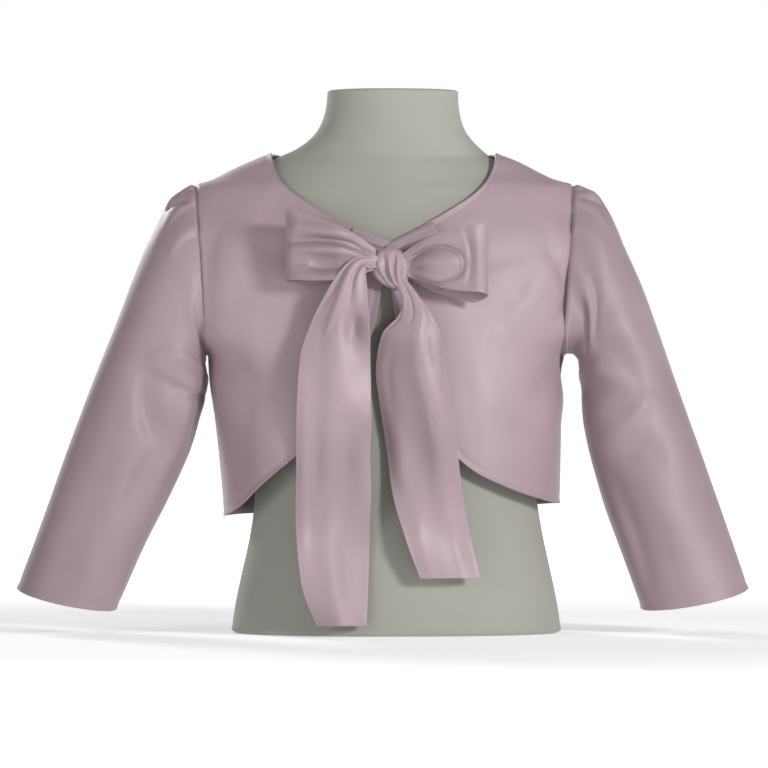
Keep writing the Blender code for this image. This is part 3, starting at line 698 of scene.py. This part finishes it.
def back_flat(side, u, v):
    """Where the back's points lie on one side of its middle: out, up."""
    quarter = math.sin(math.pi / 4)
    hem = FRONT_EDGE[side][-1][1]
    near, far = NECK_POINT[side], half_width_at(side, SHOULDER)
    neck = Profile(("out", "up"), BACK_NECKLINE)

    def top(share):
        out = near + (far - near) * (share - quarter) / (1 - quarter)
        flat = share / quarter * BACK_NECKLINE[-1][0]
        seam = share > quarter
        inner_out = flat * near / BACK_NECKLINE[-1][0]
        outer_up = shoulder_height(side, np.maximum(out, near))
        up = np.where(seam, outer_up, neck.at(flat)["up"])
        return joined(np.where(seam, out, inner_out), up)

    def bottom(share):
        up = BACK_HEM + (hem - BACK_HEM) * share**2
        return joined(share * BODY.at(up)[side], up)

    middle = np.zeros(1)
    low, high = bottom(middle)[0], top(middle)[0]
    return patch(
        bottom,
        top,
        lambda share: low + (high - low) * eased(share)[..., None],
        lambda share: side_line(side, hem, share),
        np.abs(np.sin(math.pi * (u - 0.5))),
        eased(v),
        v,
    )


def back_surface(u, v):
    halves = {}
    for side in SIDES:
        out, up = np.moveaxis(back_flat(side, u, v), -1, 0)
        depth = depth_at(side, "back", np.maximum(out, 0.0), up)
        halves[side] = joined(SIDES[side] * out, depth, up)
    return np.where((u < 0.5)[..., None], halves["right"], halves["left"])


# The sleeves


def armhole_point(side, turn):
    """The armhole seam at an angle round it from the shoulder, front positive."""
    up = (UNDERARM + SHOULDER) / 2 + (SHOULDER - UNDERARM) / 2 * np.cos(turn)
    out = armhole_out(side, up)
    front = depth_at(side, "front", out, up)
    back = depth_at(side, "back", out, up)
    return joined(out, np.where(np.sin(turn) >= 0, -front, back), up)


def around(turn):
    """The angle from the line over the arm, from -180 to 180 degrees, front positive."""
    return np.degrees(np.arctan2(np.sin(turn), np.cos(turn)))


def pleat_height(turn, along):
    """The tucks of the sleeve head: a slow rise, a quick drop, fading down the sleeve."""
    fade = np.maximum(0.0, 1 - along / PLEAT_LENGTH) ** PLEAT_FADE
    height = np.zeros_like(turn)
    for number, pleat in enumerate(PLEATS):
        gone = (pleat - around(turn)) * math.copysign(1, pleat)
        rise = hump(gone, np.where(gone >= 0, PLEAT_RISE, PLEAT_DROP))
        height = np.maximum(height, rise * PLEAT_SHARES[number % len(PLEAT_SHARES)])
    return PLEAT_DEPTH * height * fade * np.minimum(1.0, along / PLEAT_START)


def ring_line(ring, over):
    """Where a sleeve's ring lies, by how far over the arm: out, up."""
    return [
        (ring["over_" + way] + ring["under_" + way]) / 2
        + (ring["over_" + way] - ring["under_" + way]) / 2 * over
        for way in ("out", "up")
    ]


def sleeve_surface(side, turn, along):
    """A sleeve's surface: its rings, closed up to the armhole at its head."""
    ring = Profile(SLEEVE_COLUMNS, SLEEVE_ROWS[side]).at(along)
    root = dict(zip(SLEEVE_COLUMNS, SLEEVE_ROWS[side][0]))
    over, front = np.cos(turn), np.sin(turn)
    swell = bulge(SLEEVE_BULGE * np.minimum(1.0, along / SLEEVE_ROUND_FROM), turn)
    start = armhole_point(side, turn)
    deeper = np.abs(start[..., 1]) - root["half_depth"] * np.abs(front)
    sign = np.where(front >= 0, 1.0, -1.0)
    out, up = ring_line(ring, over * swell)
    depth = ring["forward"] + ring["half_depth"] * front * swell
    depth = depth + sign * ring["armhole_share"] * deeper
    point = joined(out, -depth, up - CUFF_DROP * front * along**3)
    out, up = ring_line(root, over)
    closing = np.maximum(0.0, 1 - along / SEAM_REACH) ** 2
    point = point + (start - joined(out, start[..., 1], up)) * closing[..., None]
    point[..., 0] *= SIDES[side]
    return point


# The form


def form_surface(turn, up):
    level = FORM.at(up)
    above_hem = up > BODY_ROWS[0][0]
    covered = above_hem & (up < BODY_TOP - FORM_BELOW)
    cloth = BODY.at(up + FORM_BELOW)
    for name in ("right", "left", "front", "back"):
        level[name] = np.where(
            above_hem, np.minimum(level[name], cloth[name] - FORM_UNDER), level[name]
        )
    level["bulge"] = np.where(
        covered, np.minimum(level["bulge"], cloth["bulge"]), level["bulge"]
    )
    swell = bulge(level["bulge"], turn)
    half = np.where(np.sin(turn) > 0, level["left"], level["right"])
    depth = np.where(np.cos(turn) > 0, level["front"], level["back"])
    return joined(half * np.sin(turn) * swell, -depth * np.cos(turn) * swell, up)


# The bow


def loop_surface(side, across, along):
    row = Profile(LOOP_COLUMNS, LOOP_ROWS).at(along)
    loop = dict(zip(LOOP_ITEMS, LOOPS[side]))
    tip = row["reach"]
    behind = tip ** LOOP_BACK["power"] * ramp(along, LOOP_BACK["from"], LOOP_BACK["over"])
    middle = loop["height"] + loop["rise"] * tip - loop["back_drop"] * behind
    half = row["half_width"] + loop["back_wide"] * behind
    wave = np.cos(across * GATHER["waves"] * math.pi)
    ripple = GATHER["height"] * (1 - tip) * wave * np.minimum(1.0, tip / GATHER["from"])
    return joined(
        loop["root"] + SIDES[side] * loop["length"] * tip,
        KNOT[1] - row["forward"] - ripple - LOOP_SWING[side] * tip**2,
        middle + half * across,
    )


def tail_surface(side, across, along):
    tail = Profile(TAIL_COLUMNS, TAIL_ROWS[side])
    row = tail.at(along)
    before, after = tail.at(along - SLOPE_STEP), tail.at(along + SLOPE_STEP)
    run_out = after["across"] - before["across"]
    run_up = after["height"] - before["height"]
    length = np.hypot(run_out, run_up)
    turned = np.maximum(0.0, 1 - along / TURN_END)
    width_out = 1 + (-run_up / length - 1) * turned
    width_up = run_out / length * turned
    fold = row["fold"] * hump(across - FOLD_AT[side], FOLD_WIDTH)
    slope = Profile(TWIST_COLUMNS, TWISTS[side]).at(along)["slope"]
    turned_back = slope * across * row["half_width"]
    nearer = TAIL_NEARER * ramp(along, NEARER["from"], NEARER["over"])
    return joined(
        row["across"] + row["half_width"] * across * width_out,
        -row["depth"] + row["cup"] * (across**2 - 0.5) - fold + turned_back + nearer,
        row["height"] + row["half_width"] * across * width_up,
    )


def tie_surface(side, across, along):
    tie = TIES[side]
    start = np.array((tie["out"], tie["up_out"]))
    end = np.array((tie["in"], tie["up_in"]))
    run = end - start
    normal = np.array((-run[1], run[0])) / np.linalg.norm(run)
    half = tie["tip"] * (TIE_WIDTH - TIE_TAPER * along)
    flat = start + run * along[..., None] + normal * (half * across)[..., None]
    out, up = flat[..., 0], flat[..., 1]
    away = depth_at(side, "front", out, up) + (CLOTH + RIBBON) / 2 + tie["lift"]
    away = away + tie["crown"] * np.cos(across * math.pi / 2)
    away = away + TIE_GATHER * np.cos(across * GATHER["waves"] * math.pi)
    return joined(SIDES[side] * out, -away, up)


# Laying cloth on a surface


def squared(value, power):
    """A share from -1 to 1 moved towards its ends, which squares a round form."""
    return math.copysign(abs(value) ** power, value)


def spread(share, crowd):
    """Shares from 0 to 1 that crowd towards both ends."""
    return share - crowd * np.sin(2 * math.pi * share) / (2 * math.pi)


def lattice(columns, rows, crowd=0.0):
    """Shares across and along for a grid of points."""
    u = spread(np.linspace(0, 1, columns + 1), crowd)
    v = spread(np.linspace(0, 1, rows + 1), crowd)
    return np.meshgrid(u, v)


def evened(points, times, closed=False):
    """The same surface with its curvature evened out. Its open borders stay where they are."""
    for _ in range(times):
        if closed:
            ring = points[:, :-1]
            across = (np.roll(ring, 1, 1) + np.roll(ring, -1, 1)) / 2
            across = np.concatenate((across, across[:, :1]), 1)
            points[1:-1] = (
                points[1:-1] * 2 + across[1:-1] + (points[:-2] + points[2:]) / 2
            ) / 4
        else:
            inner = points[1:-1, 1:-1]
            sides = points[1:-1, :-2] + points[1:-1, 2:] + points[:-2, 1:-1] + points[2:, 1:-1]
            points[1:-1, 1:-1] = inner / 2 + sides / 8
    return points


def normals_of(points, closed=False):
    """Unit normals of a grid of points."""
    along = np.gradient(points, axis=0)
    if closed:
        ring = points[:, :-1]
        across = (np.roll(ring, -1, 1) - np.roll(ring, 1, 1)) / 2
        across = np.concatenate((across, across[:, :1]), 1)
    else:
        across = np.gradient(points, axis=1)
    normal = np.cross(across, along)
    length = np.linalg.norm(normal, axis=-1, keepdims=True)
    return normal / np.maximum(length, 1e-12)


def from_border(points, border):
    """Distance along the cloth from one of its borders: first, last, low or high."""
    axis = 1 if border in ("first", "last") else 0
    steps = np.linalg.norm(np.diff(points, axis=axis), axis=-1)
    zero = np.zeros_like(np.take(points[..., 0], [0], axis=axis))
    gone = np.concatenate((zero, np.cumsum(steps, axis=axis)), axis=axis)
    if border in ("last", "high"):
        return np.take(gone, [-1], axis=axis) - gone
    return gone


def edge(kind, distance):
    """The height of an edge at a distance from it: rolled, sewn into a seam, or a selvedge."""
    total = np.zeros_like(distance)
    for values in EDGES[kind]:
        row = dict(zip(EDGE_COLUMNS, values))
        total += row["height"] * hump(distance - row["at"], row["width"])
    return total


def selvedges(points):
    """The firm woven edges along both sides of a ribbon."""
    return edge("selvedge", from_border(points, "first")) + edge(
        "selvedge", from_border(points, "last")
    )


def raised(points, height, facing, closed=False):
    """The points moved out along their normals, on the side of the cloth that faces that way."""
    outward = normals_of(points, closed)
    outward *= np.sign((outward * facing).sum(-1).mean())
    return points + outward * height[..., None]


def tongue(a, b):
    """The rounded fold that lies on the wearer's left loop."""
    across = (a - TONGUE["out"]) / TONGUE["half_out"]
    up = (b - TONGUE["up"]) / TONGUE["half_up"]
    reach = np.hypot(across, up)
    dome = np.clip(1 - reach**2, 0, 1) ** TONGUE["full"]
    groove = hump(reach - TONGUE["groove_at"], TONGUE["groove_width"])
    return TONGUE["height"] * dome - TONGUE["groove"] * groove


def creased(rows, a, b, turn_round=None):
    """The height of all the creases of a table at places a, b in metres."""
    total = np.zeros_like(a)
    for values in rows:
        row = dict(zip(CREASE_COLUMNS, values))
        start = np.array((row["a0"], row["b0"])) / 1000
        run = np.array((row["a1"], row["b1"])) / 1000 - start
        length = np.linalg.norm(run)
        ahead, aside = run / length, np.array((-run[1], run[0])) / length
        for shift in (0,) if turn_round is None else (-turn_round, 0, turn_round):
            from_a, from_b = a + shift - start[0], b - start[1]
            share = (from_a * ahead[0] + from_b * ahead[1]) / length
            off = from_a * aside[0] + from_b * aside[1]
            inside = np.clip(share, 0, 1)
            off = off - row["bow"] / 1000 * 4 * inside * (1 - inside)
            width = row["width"] / 1000
            width = np.where(off > 0, width * (1 + row["lean"]), width * (1 - row["lean"]))
            beyond = np.where(share < 0, -share, np.maximum(share - 1, 0)) * length
            least, gain, full = CREASE_TAPER
            taper = np.sin(math.pi * (least + gain * inside)) ** full
            fade = hump(beyond, width) * taper
            total += row["height"] / 1000 * hump(off, width) * fade
    return total


def slack(name, a, b):
    """The slight unevenness of hanging cloth, the same each run."""
    seed, size, height = SLACK[name]
    dice = np.random.default_rng(seed)
    total = np.zeros_like(a)
    for _ in range(SLACK_WAVES):
        angle, phase = dice.uniform(0, 2 * math.pi, 2)
        wave = dice.uniform(*SLACK_RANGE) * 2 * math.pi / size
        total += np.sin(wave * (a * math.cos(angle) + b * math.sin(angle)) + phase)
    return height * total / SLACK_SHARE


def as_object(name, work):
    """A smooth mesh object of a bmesh."""
    mesh = bpy.data.meshes.new(name)
    work.to_mesh(mesh)
    work.free()
    mesh.shade_smooth()
    piece = bpy.data.objects.new(name, mesh)
    bpy.context.scene.collection.objects.link(piece)
    return piece


def stand_for(piece, material, node):
    """The piece shows in place of its node, in its material."""
    piece.data.materials.append(material)
    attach(piece, "root")
    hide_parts(node)


def add_surface(name, points, closed=False, caps=False):
    """A mesh object of a grid of points, with a UV map in metres of cloth."""
    rows, columns = points.shape[0] - 1, points.shape[1] - 1
    work = bmesh.new()
    layer = work.loops.layers.uv.new("cloth")
    bmesh.ops.create_grid(work, x_segments=columns, y_segments=rows, size=0.5)
    wide = from_border(points, "first")[rows // 2]
    long = from_border(points, "low")[:, columns // 2]
    for vertex in work.verts:
        i = round((vertex.co.x + 0.5) * columns)
        j = round((vertex.co.y + 0.5) * rows)
        for loop in vertex.link_loops:
            loop[layer].uv = (wide[i], long[j])
        vertex.co = points[j, i]
    if closed:
        bmesh.ops.remove_doubles(work, verts=work.verts, dist=MERGE)
    if caps:
        rim = [border for border in work.edges if border.is_boundary]
        bmesh.ops.holes_fill(work, edges=rim, sides=0)
    bmesh.ops.recalc_face_normals(work, faces=work.faces)
    return as_object(name, work)


def add_cloth(name, points, thickness, material, node, closed=False):
    """A sheet of cloth with its thickness and softly rounded edges, standing for its node."""
    piece = add_surface(name, points, closed)
    wall = piece.modifiers.new("wall", "SOLIDIFY")
    wall.thickness = thickness
    wall.offset = 0.0
    rim = piece.modifiers.new("edge", "BEVEL")
    rim.width = thickness * EDGE_ROUND
    rim.segments = EDGE_STEPS
    rim.limit_method = "ANGLE"
    rim.angle_limit = SHARP
    stand_for(piece, material, node)


# Materials

PATTERN_RANGE = (0.35, 0.65)  # the part of a noise pattern's range that shows


def set_levels(node, **levels):
    """A node's inputs by name, with _ for a space."""
    for socket, value in levels.items():
        node.inputs[socket.replace("_", " ")].default_value = value


class Shader:
    """A material or world whose nodes are being put together."""

    def __init__(self, owner, surface, **levels):
        owner.use_nodes = True
        self.tree = owner.node_tree
        self.surface = self.tree.nodes[surface]
        set_levels(self.surface, **levels)
        self.coordinates = self.add("TexCoord")

    def add(self, kind, **levels):
        node = self.tree.nodes.new("ShaderNode" + kind)
        set_levels(node, **levels)
        return node

    def link(self, output, target):
        self.tree.links.new(output, target)

    def feed(self, socket, output):
        self.link(output, self.surface.inputs[socket])

    def noise(self, scale, detail=3.0, space="Object", stretch=(1.0, 1.0, 1.0)):
        """A noise pattern's value."""
        mapping = self.add("Mapping", Scale=stretch)
        self.link(self.coordinates.outputs[space], mapping.inputs["Vector"])
        noise = self.add("TexNoise", Scale=scale, Detail=detail)
        self.link(mapping.outputs["Vector"], noise.inputs["Vector"])
        return noise.outputs["Fac"]

    def ranged(self, value, start, end, low=0.0, high=1.0):
        """A value moved from one range into another."""
        node = self.add("MapRange", From_Min=start, From_Max=end, To_Min=low, To_Max=high)
        self.link(value, node.inputs["Value"])
        return node.outputs["Result"]

    def clouded(self, scale, dark, light):
        """The surface's colour, which varies softly between two."""
        mix = self.add("Mix")
        mix.data_type = "RGBA"
        set_levels(mix, A=(*dark, 1.0), B=(*light, 1.0))
        self.link(self.ranged(self.noise(scale), *PATTERN_RANGE), mix.inputs["Factor"])
        self.feed("Base Color", mix.outputs["Result"])

    def bump(self, height, strength, distance, under=None):
        node = self.add("Bump", Strength=strength, Distance=distance)
        self.link(height, node.inputs["Height"])
        if under is not None:
            self.link(under, node.inputs["Normal"])
        return node.outputs["Normal"]


def satin(name, dark, light, roughness):
    """Satin: a smooth face of long floats with a broad soft shine and a slight slub."""
    material = bpy.data.materials.new(name)
    shader = Shader(
        material,
        "Principled BSDF",
        Specular_IOR_Level=0.5,
        Sheen_Weight=0.32,
        Sheen_Roughness=0.35,
        Sheen_Tint=(1.0, 0.88, 0.92, 1.0),
    )
    shader.clouded(14.0, dark, light)
    slub = shader.noise(scale=1.0, detail=2.0, space="UV", stretch=(2600.0, 90.0, 1.0))
    threads = shader.noise(scale=1.0, detail=1.0, space="UV", stretch=(5200.0, 420.0, 1.0))
    smoother, rougher = roughness - 0.05, roughness + 0.07
    shader.feed("Roughness", shader.ranged(slub, *PATTERN_RANGE, smoother, rougher))
    soft = shader.bump(shader.noise(scale=70.0, detail=2.0), strength=0.25, distance=0.0006)
    woven = shader.bump(threads, strength=0.12, distance=0.00012, under=soft)
    shader.feed("Normal", woven)
    return material


def jersey(name, dark, light, roughness):
    """The form's close-fitting cotton jersey cover."""
    material = bpy.data.materials.new(name)
    levels = {"Roughness": roughness, "Specular_IOR_Level": 0.25, "Sheen_Weight": 0.15}
    shader = Shader(material, "Principled BSDF", **levels)
    shader.clouded(9.0, dark, light)
    ribs = shader.noise(scale=1.0, detail=1.0, space="UV", stretch=(1500.0, 900.0, 1.0))
    shader.feed("Normal", shader.bump(ribs, strength=0.18, distance=0.0002))
    return material


# Each material's darker and lighter colour, and its roughness
SATIN = satin("satin", (0.312, 0.228, 0.252), (0.356, 0.263, 0.289), 0.52)
# Painted shade: the sleeves' satin is a darker copy of the jacket's satin, standing in for the
# shade on the hanging sleeves.
SLEEVE_SATIN_PAINTED_SHADE = satin("sleeve_satin_painted_shade", (0.262, 0.192, 0.212), (0.300, 0.222, 0.243), 0.53)
RIBBON_SATIN = satin("ribbon_satin", (0.318, 0.233, 0.257), (0.356, 0.262, 0.288), 0.49)
# Painted shade: the loops' satin is a darker copy of the ribbon's satin, standing in for the shade
# on the bow's loops.
LOOP_SATIN_PAINTED_SHADE = satin("loop_satin_painted_shade", (0.250, 0.183, 0.202), (0.286, 0.211, 0.232), 0.47)
JERSEY = jersey("form_jersey", (0.282, 0.279, 0.248), (0.312, 0.309, 0.275), 0.85)


# The pieces


def make_fronts():
    for side in SIDES:
        name = f"{side}_front"
        u, v = lattice(*FRONT_GRID, CROWD)
        points = evened(front_surface(side, u, v), EVENING["front"])
        a, b = np.abs(points[..., 0]), points[..., 2]
        from_seam = from_border(points, "high")
        neck = np.clip(from_seam / EDGE_FADE, 0, 1)
        height = creased(FRONT_CREASES[side], a, b) + slack(name, a, b)
        height += edge("rolled", from_border(points, "first")) * neck
        height += edge("rolled", from_border(points, "low"))
        height += edge("sewn", from_border(points, "last"))
        height += edge("sewn", from_seam)
        points = raised(points, height, FORWARD)
        add_cloth(name, points, CLOTH, SATIN, f"front_{side}")


def make_back():
    u, v = lattice(*BACK_GRID, CROWD)
    points = evened(back_surface(u, v), EVENING["back"])
    a, b = points[..., 0], points[..., 2]
    border = points[-1:, :, 0]
    neck_point = np.where(border < 0, NECK_POINT["right"], NECK_POINT["left"])
    neck = np.clip((neck_point - np.abs(border)) / EDGE_FADE, 0, 1)
    seam_or_neck = from_border(points, "high")
    height = creased(BACK_CREASES, a, b) + slack("back_panel", a, b)
    height += edge("rolled", from_border(points, "low"))
    height += neck * edge("rolled", seam_or_neck) + (1 - neck) * edge("sewn", seam_or_neck)
    height += edge("sewn", from_border(points, "first"))
    height += edge("sewn", from_border(points, "last"))
    points = raised(points, height, BACKWARD)
    add_cloth("back_panel", points, CLOTH, SATIN, "back")


def make_sleeves():
    columns, rows = SLEEVE_GRID
    power, swing = SLEEVE_CROWD
    girth = 2 * math.pi * SLEEVE_RADIUS
    for side in SIDES:
        name = f"{side}_sleeve"
        share = np.linspace(0, 1, rows + 1)
        share = share**power + swing * np.sin(math.pi * share) ** 2
        u, v = np.meshgrid(np.linspace(0, 1, columns + 1), share / share[-1])
        turn = 2 * math.pi * u
        points = evened(sleeve_surface(side, turn, v), EVENING["sleeve"], closed=True)
        a = np.radians(around(turn)) * SLEEVE_RADIUS
        b = v * SLEEVE_LENGTH
        height = creased(SLEEVE_CREASES[side], a, b, girth) * np.clip(b / HEAD_CALM, 0, 1)
        height += slack(name, np.cos(turn) * SLACK_ROUND, b)
        height += pleat_height(turn, v) + edge("sewn", b) + edge("rolled", SLEEVE_LENGTH - b)
        outside = points - points.mean(axis=1, keepdims=True)
        points = raised(points, height, outside, closed=True)
        node = f"sleeve_{side}"
        # The sleeves wear the darker satin, which carries their painted shade.
        add_cloth(name, points, CLOTH, SLEEVE_SATIN_PAINTED_SHADE, node, closed=True)


def make_form():
    columns, rows = FORM_GRID
    levels = np.interp(
        np.linspace(0, 1, rows + 1),
        np.linspace(0, 1, len(FORM_ROWS)),
        [row[0] for row in FORM_ROWS],
    )
    u, up = np.meshgrid(np.linspace(0, 1, columns + 1), levels)
    points = form_surface(2 * math.pi * u, up)
    inner = points[FORM_KEPT - 1 : 1 - FORM_KEPT].copy()
    points[FORM_KEPT:-FORM_KEPT] = evened(inner, EVENING["form"], closed=True)[1:-1]
    piece = add_surface("form_body", points, closed=True, caps=True)
    stand_for(piece, JERSEY, "dress_form")


def make_loop(side):
    u, v = lattice(*LOOP_GRID)
    across = 2 * u - 1
    points = evened(loop_surface(side, across, v), EVENING["loop"])
    row = Profile(LOOP_COLUMNS, LOOP_ROWS).at(v)
    a = row["reach"] * dict(zip(LOOP_ITEMS, LOOPS[side]))["length"]
    b = across * row["half_width"]
    height = creased(LOOP_CREASES[side], a, b)
    if side == "left":
        height += tongue(a, b)
    calm = np.clip(a / LOOP_CALM["over"], LOOP_CALM["least"], 1.0)
    height *= np.where(v < 0.5, 1.0, LOOP_CALM["back"]) * calm
    height += selvedges(points)
    facing = np.zeros_like(points)
    facing[: len(points) // 2] = FORWARD
    points = raised(points, height, facing)
    # The loops wear the darker satin, which carries their painted shade.
    add_cloth(f"{side}_loop", points, RIBBON, LOOP_SATIN_PAINTED_SHADE, f"bow_loop_{side}")


def make_tail(side):
    u, v = lattice(*TAIL_GRID)
    across = 2 * u - 1
    points = evened(tail_surface(side, across, v), EVENING["tail"])
    row = Profile(TAIL_COLUMNS, TAIL_ROWS[side]).at(v)
    down = from_border(points, "low")
    height = creased(TAIL_CREASES[side], across * row["half_width"], down)
    points = raised(points, height + selvedges(points), FORWARD)
    add_cloth(f"{side}_tail", points, RIBBON, RIBBON_SATIN, f"bow_tail_{side}")


def make_bow():
    for side in SIDES:
        make_loop(side)
        make_tail(side)
        u, v = lattice(*TIE_GRID)
        points = tie_surface(side, 2 * u - 1, v)
        add_cloth(f"{side}_tie", points, RIBBON, RIBBON_SATIN, f"tie_{side}")


def make_knot():
    """The knot: a wrap round the loops, drawn into uneven pleats that fan out upwards."""
    work = bmesh.new()
    columns, rows = KNOT_GRID
    bmesh.ops.create_uvsphere(work, u_segments=columns, v_segments=rows, radius=1.0)
    for vertex in work.verts:
        x, y, z = vertex.co
        x, y = squared(x, KNOT_SQUARE[0]), squared(y, KNOT_SQUARE[1])
        front = max(0.0, -y)
        fan = (x - KNOT_FAN["middle"]) / (KNOT_FAN["width"] + KNOT_FAN["spread"] * z)
        relief = sum(
            height * math.exp(-(((fan - place) / width) ** 2))
            for place, width, height in KNOT_PLEATS
        )
        relief *= 1 - z**4
        for out, up, half_out, half_up, depth in KNOT_HOLLOWS:
            away = ((x - out) / half_out) ** 2 + ((z - up) / half_up) ** 2
            relief -= depth * math.exp(-away)
        deep = 1 + front * relief
        waist = 1 - KNOT_WAIST * max(0.0, -z) ** 2
        vertex.co = (
            KNOT[0] + KNOT_SIZE[0] * x * waist + KNOT_LEAN * max(0.0, -z) ** 2,
            KNOT[1] + KNOT_SIZE[1] * y * deep,
            KNOT[2] + KNOT_SIZE[2] * z,
        )
    stand_for(as_object("knot", work), RIBBON_SATIN, "bow_knot")


# The studio: sizes and places in metres, powers in watts
FLOOR_SIZE = 30.0
FLOOR_GAP = 0.0002
LIGHT_COLUMNS = ("name", "place", "size", "power")
LIGHTS = (
    ("key", (1.62, -1.96, 0.80), 0.40, 50.0),
    ("fill", (-1.7, -1.9, 0.7), 0.9, 12.0),
    ("top", (0.2, -0.3, 2.2), 1.0, 5.0),
    ("back", (-1.2, 2.25, 1.2), 0.6, 34.0),
)
LIT_MIDDLE = (0.0, 0.0, 0.17)
SENSOR = 36.0
CAMERA_PLACE = (-0.0013, -4.0, 0.1587)
SEEN_WIDTH = 768 * 0.00064  # the photo's pixels, at their size on the jacket


def make_stage():
    """A plain pale floor."""
    work = bmesh.new()
    bmesh.ops.create_grid(work, x_segments=1, y_segments=1, size=FLOOR_SIZE)
    bmesh.ops.translate(work, verts=work.verts, vec=(0.0, 0.0, -FLOOR_GAP))
    pale = bpy.data.materials.new("pale_floor")
    shader = Shader(
        pale,
        "Principled BSDF",
        Base_Color=(0.88, 0.88, 0.88, 1.0),
        Roughness=0.9,
        Specular_IOR_Level=0.1,
        Emission_Color=(1.0, 1.0, 1.0, 1.0),
    )
    distance = shader.add("VectorMath")
    distance.operation = "LENGTH"
    shader.link(shader.coordinates.outputs["Object"], distance.inputs["Vector"])
    glow = shader.ranged(distance.outputs["Value"], start=0.4, end=2.0, low=0.34, high=1.0)
    shader.feed("Emission Strength", glow)
    floor = as_object("floor", work)
    floor.data.materials.append(pale)


def make_surroundings():
    """A studio that is white all round at eye level and dimmer overhead."""
    world = bpy.data.worlds.new("studio")
    bpy.context.scene.world = world
    shader = Shader(world, "Background", Color=(1.0, 1.0, 1.0, 1.0))
    split = shader.add("SeparateXYZ")
    shader.link(shader.coordinates.outputs["Generated"], split.inputs["Vector"])
    fall = shader.ranged(split.outputs["Z"], start=0.06, end=0.22, low=1.0, high=0.12)
    shader.feed("Strength", fall)


def add_light(name, place, size, power):
    """A soft square light that faces the jacket."""
    light = bpy.data.lights.new(name, "AREA")
    light.size = size
    light.energy = power
    lamp = bpy.data.objects.new(name, light)
    lamp.location = place
    away = np.array(place) - np.array(LIT_MIDDLE)
    lamp.rotation_euler = (
        math.acos(away[2] / np.linalg.norm(away)),
        0.0,
        math.atan2(away[1], away[0]) + math.pi / 2,
    )
    bpy.context.scene.collection.objects.link(lamp)


def make_studio():
    scene = bpy.context.scene
    scene.view_settings.view_transform = "Standard"
    for row in LIGHTS:
        add_light(**dict(zip(LIGHT_COLUMNS, row)))
    camera = bpy.data.cameras.new("camera")
    camera.sensor_width = SENSOR
    camera.lens = SENSOR * -CAMERA_PLACE[1] / SEEN_WIDTH
    viewer = bpy.data.objects.new("camera", camera)
    viewer.location = CAMERA_PLACE
    viewer.rotation_euler = (math.pi / 2, 0.0, 0.0)
    scene.collection.objects.link(viewer)
    scene.camera = viewer


make_form()
make_back()
make_fronts()
make_sleeves()
make_bow()
make_knot()
make_stage()
make_surroundings()
make_studio()
bpy.context.view_layer.update()
